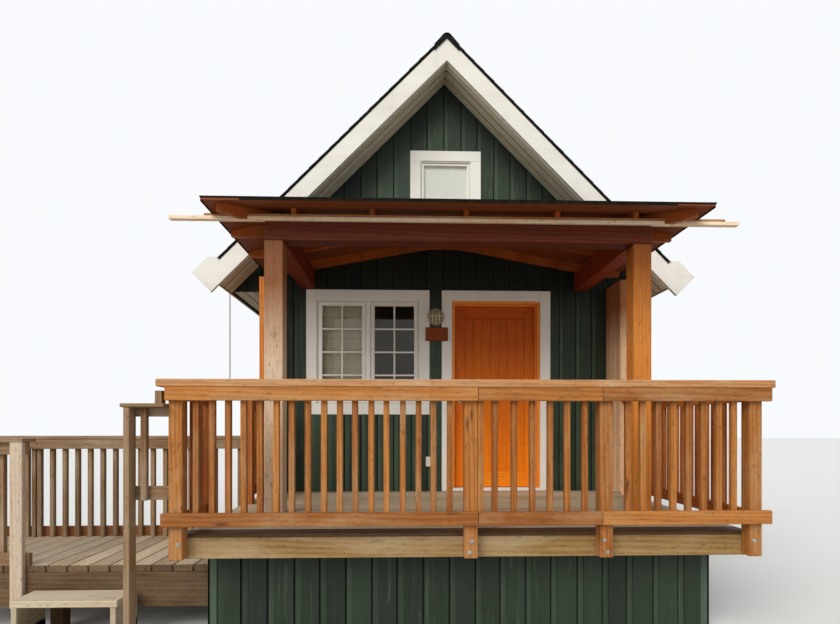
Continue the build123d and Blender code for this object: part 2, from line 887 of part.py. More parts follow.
def side_screen(side):
    """Add a post on the deck and a row of upright boards from it back to the wall."""
    post_end = half_house + screen_post_size
    timber(min(side * half_house, side * post_end), max(side * half_house, side * post_end),
           screen_front - screen_post_size, screen_front, deck_top, screen_top)
    board_face = half_house - screen_board_thickness
    x_low = min(side * half_house, side * board_face)
    x_high = max(side * half_house, side * board_face)
    first_front = screen_front - screen_post_size
    pitch = (screen_length + screen_post_size - screen_board_width) / screen_board_count
    for number in range(screen_board_count + 1):
        board_front = first_front + number * pitch
        timber(x_low, x_high, board_front, board_front + screen_board_width, screen_bottom, screen_top)
    batten_end = half_house + screen_batten_size
    for height in (screen_bottom, screen_top - screen_post_size):
        timber(min(side * half_house, side * batten_end), max(side * half_house, side * batten_end),
               screen_front, front, height, height + screen_post_size)


with BuildPart() as screen_left:
    side_screen(-1)
save(screen_left, "screen_left")

with BuildPart() as screen_right:
    side_screen(1)
save(screen_right, "screen_right")

side_rail_x = half_house + screen_post_size / 2 + baluster_size / 4


def side_rail(side, y_front, y_back, cap_from, cap_to):
    """Add two rails, a cap and even balusters that run back from a post."""
    x_low = side * side_rail_x - rail_thickness / 2
    x_high = side * side_rail_x + rail_thickness / 2
    timber(x_low, x_high, y_front, y_back, rail_low, rail_low + rail_width)
    timber(x_low, x_high, y_front, y_back, rail_cap_underside - rail_width, rail_cap_underside)
    middle = side * side_rail_x
    timber(middle - rail_cap_width / 2, middle + rail_cap_width / 2, cap_from, cap_to,
           rail_cap_underside, deck_top + rail_cap_top)
    count = int((y_back - y_front) // side_baluster_pitch)
    pitch = (y_back - y_front) / (count + 1)
    for number in range(1, count + 1):
        place = y_front + number * pitch
        timber(x_low, x_high, place - baluster_size / 2, place + baluster_size / 2,
               rail_low + rail_width, rail_cap_underside - rail_width)


screen_post_front = screen_front - screen_post_size
with BuildPart() as side_rail_right:
    side_rail(1, rail_post_back, screen_post_front, cap_back, screen_post_front)
save(side_rail_right, "side_rail_right")

left_rail_back = rail_post_back + left_rail_length
with BuildPart() as side_rail_left:
    side_rail(-1, rail_post_back, left_rail_back - rail_thickness, cap_back, left_rail_back)
    timber(-side_rail_x - rail_width / 2, -side_rail_x + rail_width / 2,
           left_rail_back - rail_thickness, left_rail_back, deck_top, rail_cap_underside)
save(side_rail_left, "side_rail_left")

# Short rail between the way in from the landing and the left screen
landing_rear = ahead(landing_rear_reach)
rear_post_front = landing_rear - 2 * rail_thickness - baluster_size - rail_cap_overhang
rear_post_back = rear_post_front + rail_post_size
rear_post_outside = -half_house - rail_post_size
with BuildPart() as side_rail_rear:
    side_rail(-1, rear_post_back, screen_post_front, rear_post_front, screen_post_front)
    timber(rear_post_outside, -half_house, rear_post_front, rear_post_back, deck_top,
           rail_cap_underside)
save(side_rail_rear, "side_rail_rear")


# Landing
landing_front = ahead(landing_front_reach)
landing_board_count = round((landing_length + landing_board_gap)
                            / (landing_board_width + landing_board_gap))
landing_board_pitch = (landing_length + landing_board_gap) / landing_board_count
with BuildPart() as landing_deck:
    for number in range(landing_board_count):
        board_left = landing_left + number * landing_board_pitch
        timber(board_left, board_left + landing_board_pitch - landing_board_gap,
               landing_front, landing_rear, landing_underside, landing_top)
save(landing_deck, "landing_deck")

beam_bottom = landing_underside - landing_beam_depth
with BuildPart() as landing_frame:
    for beam_front in (landing_front, (landing_front + landing_rear - landing_beam_thickness) / 2,
                       landing_rear - landing_beam_thickness):
        timber(landing_left, landing_right, beam_front, beam_front + landing_beam_thickness,
               beam_bottom, landing_underside)
    for inset in landing_leg_insets:
        place = landing_left + inset
        for leg_front in (landing_front + landing_beam_thickness,
                          landing_rear - landing_beam_thickness - landing_leg_size):
            timber(place - landing_leg_size / 2, place + landing_leg_size / 2, leg_front,
                   leg_front + landing_leg_size, 0, landing_underside)
save(landing_frame, "landing_frame")

landing_rail_height = landing_top + landing_rail_top
landing_cap_bottom = landing_rail_height - landing_cap_thickness


def landing_rail(x_from, x_to, y_board):
    """Add a rail along the landing, with its balusters in front of the board at its foot."""
    baluster_front = y_board - baluster_size
    timber(x_from, x_to, y_board, y_board + rail_thickness, landing_top, landing_top + rail_width)
    timber(x_from, x_to, baluster_front - rail_thickness, baluster_front,
           landing_cap_bottom - rail_width, landing_cap_bottom)
    timber(x_from, x_to, baluster_front - rail_thickness - rail_cap_overhang,
           baluster_front - rail_thickness - rail_cap_overhang + rail_cap_width,
           landing_cap_bottom, landing_rail_height)
    count = int((x_to - x_from) // landing_baluster_pitch)
    for number in range(count):
        middle = x_to - (number + 1 / 2) * landing_baluster_pitch
        timber(middle - baluster_size / 2, middle + baluster_size / 2, baluster_front, y_board,
               landing_top, landing_cap_bottom)


with BuildPart() as landing_rail_rear:
    landing_rail(landing_left, rear_post_outside, landing_rear - rail_thickness)
save(landing_rail_rear, "landing_rail_rear")

front_rail_board = landing_front
with BuildPart() as landing_rail_front:
    timber(landing_left, stair_left, front_rail_board, front_rail_board + rail_thickness,
           landing_top, landing_top + rail_width)
    timber(landing_left, stair_left, front_rail_board, front_rail_board + rail_thickness,
           landing_cap_bottom - rail_width, landing_cap_bottom)
    timber(landing_left, stair_left, landing_front - newel_thickness,
           landing_front - newel_thickness + rail_cap_width, landing_cap_bottom, landing_rail_height)
    newel_right = stair_left - newel_inset
    timber(newel_right - newel_width, newel_right, landing_front - newel_thickness, landing_front,
           beam_bottom, landing_cap_bottom)
    timber(landing_left, landing_left + newel_width, landing_front - newel_thickness, landing_front,
           beam_bottom, landing_cap_bottom)
    baluster_span = newel_right - newel_width - landing_left - newel_width
    for number in range(int(baluster_span // landing_baluster_pitch)):
        middle = newel_right - newel_width - (number + 1) * landing_baluster_pitch
        timber(middle - baluster_size / 2, middle + baluster_size / 2,
               front_rail_board + rail_thickness, front_rail_board + rail_thickness + baluster_size,
               landing_top, landing_cap_bottom)
save(landing_rail_front, "landing_rail_front")


# Stair
rise = landing_top / (tread_count + 1)
stringer_front = landing_front - tread_setback - tread_count * tread_depth
with BuildPart() as stair:
    for x_from in (stair_left + stringer_inset, stair_right - stringer_inset - stringer_thickness):
        with BuildSketch(Plane.YZ.offset(x_from)):
            with BuildLine():
                Polyline((landing_front, 0), (stringer_front, 0),
                         (stringer_front, rise - tread_thickness),
                         (stringer_front + tread_depth, rise - tread_thickness),
                         (stringer_front + tread_depth, 2 * rise - tread_thickness),
                         (landing_front, 2 * rise - tread_thickness), close=True)
            make_face()
        extrude(amount=stringer_thickness)
    for number in range(tread_count):
        tread_front = stringer_front + number * tread_depth
        tread_top = (number + 1) * rise
        timber(stair_left, stair_right, tread_front, tread_front + tread_depth,
               tread_top - tread_thickness, tread_top)
save(stair, "stair")

corner_post_left = first_post - half_post
entry_post_x = corner_post_left - entry_post_gap
entry_upright_x = corner_post_left - entry_upright_gap
entry_rail_top = deck_top + entry_rail_height
entry_lower_rail_top = deck_top + entry_lower_rail_height
entry_cap_bottom = entry_rail_top - entry_cap_thickness
entry_front = ahead(deck_reach + entry_post_forward)
entry_rail_front = entry_front + newel_width
with BuildPart() as entry_rail:
    timber(entry_post_x - newel_thickness / 2, entry_post_x + newel_thickness / 2, entry_front,
           entry_rail_front, 0, entry_cap_bottom)
    timber(entry_post_x - newel_thickness / 2, corner_post_left, entry_rail_front,
           entry_rail_front + rail_thickness, entry_cap_bottom - entry_upper_rail_width,
           entry_cap_bottom)
    timber(entry_post_x - newel_thickness / 2, corner_post_left, entry_rail_front,
           entry_rail_front + rail_thickness, entry_lower_rail_top - rail_width, entry_lower_rail_top)
    timber(entry_upright_x - baluster_size / 2, entry_upright_x + baluster_size / 2,
           entry_rail_front - baluster_size, entry_rail_front, entry_lower_rail_top - rail_width,
           entry_cap_bottom)
    timber(entry_post_x - newel_thickness, corner_post_left, entry_front - rail_cap_overhang,
           entry_rail_front + rail_thickness, entry_cap_bottom, entry_rail_top)
save(entry_rail, "entry_rail")


# Fittings
light_centre_x = casing_left - window_casing_gap / 2
light_block_width = window_casing_gap - 2 * light_block_clearance
light_face = Plane(origin=(light_centre_x, front, opening_top - light_drop),
                   x_dir=(1, 0, 0), z_dir=(0, -1, 0))
with BuildPart() as porch_light:
    with BuildSketch(light_face):
        Rectangle(light_block_width, light_block_width)
    extrude(amount=trim_thickness)
    with BuildSketch(light_face.offset(trim_thickness)):
        Circle(light_radius)
    extrude(amount=light_depth, taper=light_taper)
    fillet(porch_light.edges().group_by(Axis.Y)[0], radius=light_edge_radius)
save(porch_light, "porch_light")

chain_x = -(eave_half_width + gutter_width / 2)
with BuildPart() as rain_chain:
    with Locations((chain_x, front + chain_setback, (chain_ground_gap + gutter_bottom) / 2)):
        Cylinder(chain_radius, gutter_bottom - chain_ground_gap)
save(rain_chain, "rain_chain")
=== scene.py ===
"""Looks of the holiday cottage: boarding, shingles, timber, paint, glass, light and camera.

Everything is in metres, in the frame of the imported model: X along the front, Y to the back, Z up.
"""
import itertools
import math
import random

import bmesh
import bpy
from mathutils import Matrix, Vector


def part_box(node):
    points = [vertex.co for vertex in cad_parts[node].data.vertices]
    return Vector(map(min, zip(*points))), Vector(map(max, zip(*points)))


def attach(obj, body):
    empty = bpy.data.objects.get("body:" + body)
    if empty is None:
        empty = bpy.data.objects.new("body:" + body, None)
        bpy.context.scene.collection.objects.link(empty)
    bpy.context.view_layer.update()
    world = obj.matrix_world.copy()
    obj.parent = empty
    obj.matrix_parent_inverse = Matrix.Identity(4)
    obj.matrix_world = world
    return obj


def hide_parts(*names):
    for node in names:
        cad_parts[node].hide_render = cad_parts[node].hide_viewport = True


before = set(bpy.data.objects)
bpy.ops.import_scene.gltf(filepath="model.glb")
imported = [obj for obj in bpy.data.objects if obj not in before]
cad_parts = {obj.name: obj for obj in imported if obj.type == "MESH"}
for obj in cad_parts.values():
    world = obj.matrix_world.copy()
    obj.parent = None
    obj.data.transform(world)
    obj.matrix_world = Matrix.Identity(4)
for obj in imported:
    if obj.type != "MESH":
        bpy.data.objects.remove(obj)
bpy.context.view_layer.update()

# Timber sizes
THICK = 0.038
NARROW = 0.089
CAP_WIDTH = 0.140
CAP_THICK = 0.050
CASING = 0.113
EDGE = 0.003
RAIL_FOOT = 0.065
LANDING_PITCH = 0.113
LANDING_CAP = 0.028

# Boarding on the walls
BOARD_PITCH = 0.183
BOARD_PROUD = 0.015
LIP_WIDTH = 0.040
LIP_PROUD = 0.006
GROOVE = 0.014
# Lips are paler than their boards: a painted highlight on their proud edges
LIP_HIGHLIGHT = 0.8

# Roofing
SHINGLE_WIDTH = 0.31
SHINGLE_COURSE = 0.145
SHINGLE_THICKNESS = 0.008
SHINGLE_THIN_END = 0.002
SHINGLE_OVERHANG = 0.014
SHINGLE_GAP = 0.004
SHEATHING = 0.016
SHEET = 0.004

# Painted shade of the porch roof on the front wall: how far back it goes, and the line of the porch roof
# that it stays under
SHADE_BACK = 0.3
SHADE_LINE = 3.515
SHADE_LINE_FALL = 0.165

# Camera, fitted to the level and square edges of the cottage
CAMERA_PLACE = (-0.444, -5.85, 1.5)
CAMERA_YAW = math.radians(1.77)
CAMERA_LENS = 22.45
CAMERA_SHIFT = 0.136

X, Y, Z = Vector((1, 0, 0)), Vector((0, 1, 0)), Vector((0, 0, 1))
SIDES = ((-1, "left"), (1, "right"))


def low(node):
    """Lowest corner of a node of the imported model."""
    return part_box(node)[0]


def high(node):
    """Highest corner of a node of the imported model."""
    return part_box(node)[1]


def evenly(first, last, count):
    """Even places from the first to the last."""
    return [first + number * (last - first) / (count - 1) for number in range(count)]


def row(start, end, width, gap):
    """The two edges of each board in a row that fills a stretch, with gaps between the boards."""
    count = round((end - start + gap) / (width + gap))
    pitch = (end - start + gap) / count
    return [(start + number * pitch, start + (number + 1) * pitch - gap) for number in range(count)]


def angles(count):
    """Angles of points that stand evenly round a circle."""
    return [2 * math.pi * number / count for number in range(count)]


# Levels and planes of the cottage
HALF_HOUSE = high("floor").x
FRONT = low("floor").y
BACK = high("floor").y
SOFFIT = low("front_gable").z + 0.078
PEAK = high("front_gable").z
DECK_TOP = high("porch_deck").z
GABLE_HALF = high("front_gable").x
WALL = high("foundation_front").y - FRONT


# Meshes
def tube_faces(count):
    """Faces of a closed shape whose two ends have as many points each."""
    faces = [list(range(count)), list(range(count, 2 * count))]
    for number in range(count):
        after = (number + 1) % count
        faces.append([number, after, after + count, number + count])
    return faces


class Pieces:
    """Boards and other closed shapes gathered into one mesh, each with its own tone and grain."""

    def __init__(self, seed):
        self.points, self.faces, self.tones, self.grains = [], [], [], []
        self.random = random.Random(seed)

    def shape(self, points, faces, along=2, turn=None, tone=None):
        """Add one closed shape; along is the axis of its grain before it is turned."""
        first = len(self.points)
        shift = [self.random.uniform(0, 9) for _ in range(3)]
        tone = self.random.random() if tone is None else tone
        for point in points:
            order = [point[(along + 1) % 3], point[(along + 2) % 3], point[along]]
            self.grains.extend(value + offset for value, offset in zip(order, shift))
            self.tones.append(tone)
            self.points.append(turn @ Vector(point) if turn else Vector(point))
        self.faces.extend([first + corner for corner in face] for face in faces)

    def block(self, start, end, along=2, turn=None, tone=None):
        """Add a plain box between two opposite corners."""
        points = list(itertools.product(*map(sorted, zip(start, end))))
        faces = ((0, 1, 3, 2), (4, 6, 7, 5), (0, 4, 5, 1), (2, 3, 7, 6), (0, 2, 6, 4), (1, 5, 7, 3))
        self.shape(points, faces, along, turn, tone)

    def board(self, start, end, along=2, edge=EDGE, turn=None):
        """Add a box between two opposite corners, with its twelve edges eased."""
        limits = [sorted(pair) for pair in zip(start, end)]
        points, faces = [], []
        for corner, face_axis in itertools.product(range(8), range(3)):
            point = []
            for axis, (first, last) in enumerate(limits):
                inset = 0 if axis == face_axis else edge
                point.append(last - inset if corner >> axis & 1 else first + inset)
            points.append(point)
        ring = ((0, 0), (1, 0), (1, 1), (0, 1))
        for axis in range(3):
            second, third = (axis + 1) % 3, (axis + 2) % 3
            for side in (0, 1):
                faces.append([3 * (side << axis | a << second | b << third) + axis for a, b in ring])
            for a, b in ring:
                base = a << second | b << third
                tip = base | 1 << axis
                faces.append([3 * base + second, 3 * tip + second, 3 * tip + third, 3 * base + third])
        faces.extend([3 * corner + axis for axis in range(3)] for corner in range(8))
        self.shape(points, faces, along, turn)

    def prism(self, outline, depth, turn=None, tone=None):
        """Add a flat outline in X and Z, thickened along Y between two depths."""
        points = [(x, y, z) for y in depth for x, z in outline]
        self.shape(points, tube_faces(len(outline)), 2, turn, tone)

    def rod(self, start, end, radius, sides):
        """Add a round rod between two points."""
        run = end - start
        turn = Matrix.Translation(start) @ run.to_track_quat("Z", "Y").to_matrix().to_4x4()
        points = [(radius * math.cos(angle), radius * math.sin(angle), height)
                  for height in (0, run.length) for angle in angles(sides)]
        self.shape(points, tube_faces(sides), 2, turn)

    def loop(self, middle, first, second, steps, radius, sides):
        """Add a closed ring of rods round a point, given its two half axes."""
        points = [middle + first * math.cos(angle) + second * math.sin(angle) for angle in angles(steps)]
        for start, end in zip(points, points[1:] + points[:1]):
            self.rod(start, end, radius, sides)

    def finish(self, name, material, slot, body="cottage", replaced=()):
        """Make the mesh, tie it to its body and hide the nodes that it stands for; the slot is not used."""
        mesh = bpy.data.meshes.new(name)
        mesh.from_pydata([tuple(point) for point in self.points], [], self.faces)
        closed = bmesh.new()
        closed.from_mesh(mesh)
        bmesh.ops.recalc_face_normals(closed, faces=closed.faces)
        closed.to_mesh(mesh)
        closed.free()
        mesh.attributes.new("tone", "FLOAT", "POINT").data.foreach_set("value", self.tones)
        mesh.attributes.new("grain", "FLOAT_VECTOR", "POINT").data.foreach_set("vector", self.grains)
        mesh.materials.append(material)
        piece = bpy.data.objects.new(name, mesh)
        bpy.context.scene.collection.objects.link(piece)
        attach(piece, body)
        if replaced:
            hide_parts(*replaced)

    def stand_in(self, node, material, slot, ending="_boards"):
        """Finish the pieces in the place of a node."""
        self.finish(node + ending, material, slot, replaced=[node])


def started(node):
    """Empty pieces to stand for a node, and the lowest and highest corners of its box."""
    return (Pieces(node), *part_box(node))


def one_board(seed, name, start, end, along, edge, material, slot, replaced=()):
    """Make a piece of one eased board."""
    made = Pieces(seed)
    made.board(start, end, along, edge)
    made.finish(name, material, slot, replaced=replaced)


def dressed(node, material, slot, along, edge):
    """Stand one eased board in the place of a node that is a plain box."""
    one_board(node, node + "_timber", low(node), high(node), along, edge, material, slot, [node])


# Materials, with colours given as red, green and blue from 0 to 255
def linear(colour):
    """Turn a colour into the linear one that shaders take."""
    values = []
    for value in colour:
        share = value / 255
        values.append(share / 12.92 if share <= 0.04045 else ((share + 0.055) / 1.055) ** 2.4)
    return (*values, 1)


def dim(colour, share):
    """Darken a colour to a share of itself."""
    return tuple(value * share for value in colour)


class Shader:
    """The nodes of a material or a world, with short ways to add and join them."""

    def __init__(self, owner):
        """Start without nodes, in a new material of the given name or in a world."""
        self.owner = bpy.data.materials.new(owner) if isinstance(owner, str) else owner
        self.owner.use_nodes = True
        self.tree = self.owner.node_tree
        self.tree.nodes.clear()

    def add(self, kind, inputs=None, **settings):
        """Add a node; an input is either a value or the output that feeds it."""
        node = self.tree.nodes.new("ShaderNode" + kind)
        for key, value in settings.items():
            setattr(node, key, value)
        for key, value in (inputs or {}).items():
            if isinstance(value, bpy.types.NodeSocket):
                self.tree.links.new(value, node.inputs[key])
            else:
                node.inputs[key].default_value = value
        return node

    def math(self, operation, first, second=0.0, third=0.0):
        """Add one sum and give its result."""
        return self.add("Math", {0: first, 1: second, 2: third}, operation=operation).outputs[0]

    def total(self, *terms):
        """Add up outputs, each given with its share."""
        result = 0.0
        for value, share in terms:
            result = self.math("MULTIPLY_ADD", value, share, result)
        return result

    def spread(self, value, low_in, high_in, low_out=0.0, high_out=1.0):
        """Map one range to another, held at both ends."""
        inputs = {"Value": value, "From Min": low_in, "From Max": high_in,
                  "To Min": low_out, "To Max": high_out}
        return self.add("MapRange", inputs, clamp=True).outputs["Result"]

    def mix(self, share, first, second):
        """Mix two colours, each an output or red, green and blue."""
        first, second = [linear(colour) if isinstance(colour, tuple) else colour
                         for colour in (first, second)]
        return self.add("Mix", {0: share, 6: first, 7: second}, data_type="RGBA").outputs[2]

    def cover(self, colour, other, value, low_in, high_in, share):
        """Lay a colour over another, from none where a value is low to a share where it is high."""
        return self.mix(self.spread(value, low_in, high_in, 0.0, share), colour, other)

    def noise(self, vector, scale, detail=4.0, roughness=0.5, distortion=0.0):
        """Add a noise; three scales stretch it by a different amount along each axis."""
        if isinstance(scale, tuple):
            vector, scale = self.stretched(vector, scale), 1.0
        inputs = {"Vector": vector, "Scale": scale, "Detail": detail, "Roughness": roughness,
                  "Distortion": distortion}
        return self.add("TexNoise", inputs).outputs["Fac"]

    def stretched(self, vector, scale):
        """Scale a coordinate by a different amount along each axis."""
        return self.add("Mapping", {"Vector": vector, "Scale": scale}).outputs["Vector"]

    def place(self):
        """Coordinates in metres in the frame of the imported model."""
        return self.add("TexCoord").outputs["Object"]

    def parts(self, vector=None):
        """The X, Y and Z of a coordinate, or else of the place."""
        return self.add("SeparateXYZ", {"Vector": vector or self.place()}).outputs

    def grain(self, along=None):
        """Coordinates whose third one runs with the grain: each board's own, or along the named axis."""
        if not along:
            return self.add("Attribute", attribute_name="grain").outputs["Vector"]
        parts = self.parts()
        order = {"x": "YZX", "y": "ZXY", "z": "XYZ"}[along]
        inputs = {axis: parts[letter] for axis, letter in zip("XYZ", order)}
        return self.add("CombineXYZ", inputs).outputs["Vector"]

    def tone(self):
        """The random tone that each board has."""
        return self.add("Attribute", attribute_name="tone").outputs["Fac"]

    def seen(self):
        """One for the rays that show a surface as it is seen, and none for those that light others."""
        rays = self.add("LightPath").outputs
        direct = self.math("MAXIMUM", rays["Is Camera Ray"], rays["Is Glossy Ray"])
        return self.math("MAXIMUM", direct, rays["Is Transmission Ray"])

    def close(self, surface, kind="Material"):
        """Join a surface to the output, and give the owner of the nodes."""
        self.add("Output" + kind, {"Surface": surface})
        return self.owner

    def finish(self, colour, roughness, height=None, strength=0.0, depth=0.0, metallic=0.0, shine=0.25):
        """Close the material with its surface shader and relief."""
        inputs = {"Base Color": colour, "Roughness": roughness, "Specular IOR Level": shine,
                  "Metallic": metallic}
        if height is not None:
            bump = self.add("Bump", {"Height": height, "Strength": strength, "Distance": depth})
            inputs["Normal"] = bump.outputs["Normal"]
        return self.close(self.add("BsdfPrincipled", inputs).outputs["BSDF"])


def wood(name, pale, deep, along=None, weather=0.3, grey=(150, 140, 125), knots=0.5, gloss=0.6,
         top_shade=None, felt=None):
    """Timber with fine grain, growth rings, knots and patches of weathering.

    A top under a roof may darken to a given colour of painted shade, between a height with none of it and a
    height with all of it.
    felt gives the colour of felt on the faces that look up.
    """
    shader = Shader(name)
    base = shader.grain(along)
    tone = shader.noise(base, (9, 9, 0.7), 0.0) if along else shader.tone()
    warp = shader.noise(base, (7, 7, 1.1), 2.0)
    rings = shader.add("TexWave", {"Vector": shader.stretched(base, (42, 34, 0.7)), "Scale": 0.5,
                                   "Distortion": 5.0, "Detail": 3.0, "Detail Scale": 1.2,
                                   "Phase Offset": shader.math("MULTIPLY", warp, 9.0)},
                       wave_type="BANDS", bands_direction="DIAGONAL").outputs["Fac"]
    cells = shader.add("TexVoronoi", {"Vector": shader.stretched(base, (8.5, 8.5, 1.9)), "Scale": 1.0})
    knot = shader.spread(cells.outputs["Distance"], 0.03, 0.13, knots, 0.0)
    patches = shader.noise(base, (5, 5, 1.4), 5.0, 0.6, 0.6)
    bands = shader.noise(base, (60, 60, 4.0), 5.0, 0.7, 0.5)
    fine = shader.total((shader.noise(base, (170, 170, 5), 5.0, 0.62, 0.4), 0.4), (bands, 0.6))
    mottle = shader.noise(base, (46, 46, 17), 6.0, 0.75)
    grain = shader.total((fine, 0.6), (rings, 0.24), (mottle, 0.36))
    shade = shader.total((grain, 0.9), (tone, 0.4))
    colour = shader.mix(shader.spread(shade, 0.34, 0.94), pale, deep)
    colour = shader.cover(colour, dim(deep, 0.72), bands, 0.56, 0.7, 0.4)
    dark = dim(deep, 0.32)
    colour = shader.mix(knot, colour, dark)
    colour = shader.cover(colour, grey, patches, 0.62 - 0.4 * weather, 0.85 - 0.35 * weather,
                          0.35 + 0.6 * weather)
    specks = shader.noise(base, (60, 60, 20), 3.0)
    colour = shader.cover(colour, dark, specks, 0.58, 0.76, 0.5)
    # Painted shade: towards the top, under a roof, the colour darkens to the shade colour
    if top_shade:
        shade_colour, foot, top = top_shade
        height = shader.math("MULTIPLY_ADD", patches, 0.3, shader.parts()["Z"])
        colour = shader.cover(colour, shader.mix(fine, shade_colour, dark), height, foot, top, 0.95)
    if felt:
        upward = shader.parts(shader.add("TexCoord").outputs["Normal"])["Z"]
        colour = shader.mix(shader.math("GREATER_THAN", upward, 0.5), colour, felt)
    roughness = shader.spread(grain, 0.1, 0.9, gloss - 0.12, gloss + 0.15)
    return shader.finish(colour, roughness, shader.total((knot, 0.5), (grain, 1.0)), 0.35, 0.0025)


def painted(name, colour, other, gloss=0.45, wear=0.25, along=None, streak=(26, 26, 1.2)):
    """Painted boards: two shades of the paint, streaks down the grain and a little dirt."""
    shader = Shader(name)
    base = shader.grain(along)
    tone = shader.noise(base, (5, 5, 0.4), 1.0) if along else shader.tone()
    streaks = shader.noise(base, streak, 5.0, 0.6, 0.3)
    fine = shader.noise(base, (220, 220, 9), 3.0)
    blend = shader.total((streaks, 0.45), (tone, 0.6))
    paint = shader.mix(shader.spread(blend, 0.2, 0.85), colour, other)
    dirt = shader.noise(shader.place(), 3.5, 6.0, 0.65)
    paint = shader.cover(paint, dim(other, 0.55), dirt, 0.5, 0.75, wear)
    roughness = shader.spread(streaks, 0.3, 0.7, gloss - 0.08, gloss + 0.12)
    return shader.finish(paint, roughness, shader.total((streaks, 0.5), (fine, 0.6)), 0.25, 0.0015)


def siding_material():
    """Weathered dark green paint with worn streaks and dark clouds; paler lips as a painted highlight,
    darker towards the foot, and painted shade under the porch roof and along the tops of the gables.
    """
    dark, pale, worn, darkest_green, painted_shade = (34, 46, 34), (68, 86, 66), (126, 136, 120), (20, 25, 20), (12, 13, 10)
    shader = Shader("siding_paint")
    base = shader.grain()
    streaks = shader.noise(base, (36, 36, 0.9), 5.0, 0.62, 0.3)
    fine = shader.noise(base, (240, 240, 8), 3.0)
    blend = shader.total((streaks, 0.5), (shader.tone(), 0.55))
    paint = shader.mix(shader.spread(blend, 0.2, 1.0), dark, pale)
    wear = shader.noise(base, (22, 22, 1.3), 6.0, 0.7, 0.8)
    paint = shader.cover(paint, worn, wear, 0.57, 0.76, 0.6)
    clouds = shader.noise(shader.place(), 2.2, 5.0, 0.6)
    paint = shader.cover(paint, darkest_green, clouds, 0.48, 0.8, 0.5)

    # Darker towards the foot
    place = shader.parts()
    height, aside = place["Z"], shader.math("ABSOLUTE", place["X"])
    darker_low = shader.spread(shader.math("MULTIPLY_ADD", clouds, 0.3, height), 0.7, 1.1, 0.35, 0.0)
    paint = shader.mix(darker_low, paint, darkest_green)

    # Painted shade under the porch roof, growing towards the roof
    at_front = shader.math("LESS_THAN", place["Y"], SHADE_BACK)
    lifted = shader.math("MULTIPLY_ADD", aside, SHADE_LINE_FALL, height)
    under = shader.math("MULTIPLY", at_front, shader.math("LESS_THAN", lifted, SHADE_LINE))
    share = shader.spread(shader.math("MULTIPLY_ADD", clouds, 0.1, height), 2.7, 3.05, 0.0, 0.85)
    paint = shader.mix(shader.math("MULTIPLY", share, under), paint, painted_shade)

    # Painted shade along the top of the gables, under the overhang of the roof
    rise = shader.math("MULTIPLY_ADD", aside, (PEAK - SOFFIT) / GABLE_HALF, height)
    rise = shader.math("MULTIPLY_ADD", clouds, 0.3, rise)
    paint = shader.cover(paint, painted_shade, rise, PEAK - 0.4, PEAK + 0.1, 0.7)
    roughness = shader.spread(streaks, 0.3, 0.7, 0.42, 0.62)
    return shader.finish(paint, roughness, shader.total((streaks, 0.5), (fine, 0.6)), 0.3, 0.0015)


def shingle_material():
    """Dark mineral shingles with a grain of small stones."""
    shader = Shader("dark_shingle")
    place = shader.place()
    stones = shader.noise(place, 420.0, 2.0)
    blend = shader.total((shader.noise(place, 2.2, 4.0), 0.4), (shader.tone(), 0.6))
    colour = shader.mix(blend, (46, 46, 50), (84, 84, 88))
    colour = shader.cover(colour, (125, 123, 120), stones, 0.55, 0.7, 0.35)
    return shader.finish(colour, 0.88, stones, 0.5, 0.002)


def metal(name, colour, roughness, metallic=1.0, shine=0.25):
    """Metal with faint scratches and dull patches."""
    shader = Shader(name)
    place = shader.place()
    patches = shader.noise(place, 14.0, 4.0)
    fine = shader.noise(place, 360.0, 3.0)
    tint = shader.mix(shader.spread(patches, 0.4, 0.75), colour, dim(colour, 0.6))
    rough = shader.spread(patches, 0.3, 0.75, roughness - 0.06, roughness + 0.15)
    return shader.finish(tint, rough, fine, 0.1, 0.0005, metallic, shine)


def glass_material():
    """Window glass that lets light through and mirrors more at a slant."""
    shader = Shader("window_glass_clear")
    ripple = shader.noise(shader.place(), 2.5, 2.0)
    bump = shader.add("Bump", {"Height": ripple, "Strength": 0.05, "Distance": 0.01}).outputs["Normal"]
    clear = shader.add("BsdfTransparent", {"Color": (0.97, 0.97, 0.95, 1)}).outputs["BSDF"]
    mirror = shader.add("BsdfGlossy", {"Color": (0.95, 0.90, 0.80, 1), "Roughness": 0.02,
                                       "Normal": bump}).outputs["BSDF"]
    slant = shader.add("Fresnel", {"IOR": 1.52}).outputs["Fac"]
    share = shader.math("MULTIPLY", slant, 0.55)
    return shader.close(shader.add("MixShader", {0: share, 1: clear, 2: mirror}).outputs[0])


def wall_core(name, groove_shade, inside):
    """The body of a wall: near-black on its outer faces as painted shade in the grooves of the boarding,
    pale lining inside the room.
    """
    shader = Shader(name)
    parts = shader.parts()
    skin = WALL - 0.001
    across = shader.math("LESS_THAN", shader.math("ABSOLUTE", parts["X"]), HALF_HOUSE - skin)
    deep = shader.math("GREATER_THAN", parts["Y"], FRONT + skin)
    short = shader.math("LESS_THAN", parts["Y"], BACK - skin)
    room = shader.math("MULTIPLY", across, shader.math("MULTIPLY", deep, short))
    patches = shader.noise(shader.place(), 6.0, 4.0)
    dark = shader.mix(patches, groove_shade, dim(groove_shade, 0.7))
    pale = shader.mix(patches, inside, dim(inside, 0.92))
    return shader.finish(shader.mix(room, dark, pale), 0.8, patches, 0.1, 0.001)


siding_paint = siding_material()
# Near-black, as painted shade in the grooves of the boarding
groove_shade_paint = painted("groove_shade_paint", (18, 22, 18), (14, 17, 14), gloss=0.7, wear=0.2)
corner_paint = painted("corner_paint", (86, 104, 88), (66, 82, 70), gloss=0.42, wear=0.3)
barge_paint = painted("barge_paint_white", (240, 236, 228), (222, 216, 206), wear=0.18, along="x")
trim_paint = painted("trim_paint_white", (244, 241, 234), (230, 225, 214), wear=0.10)
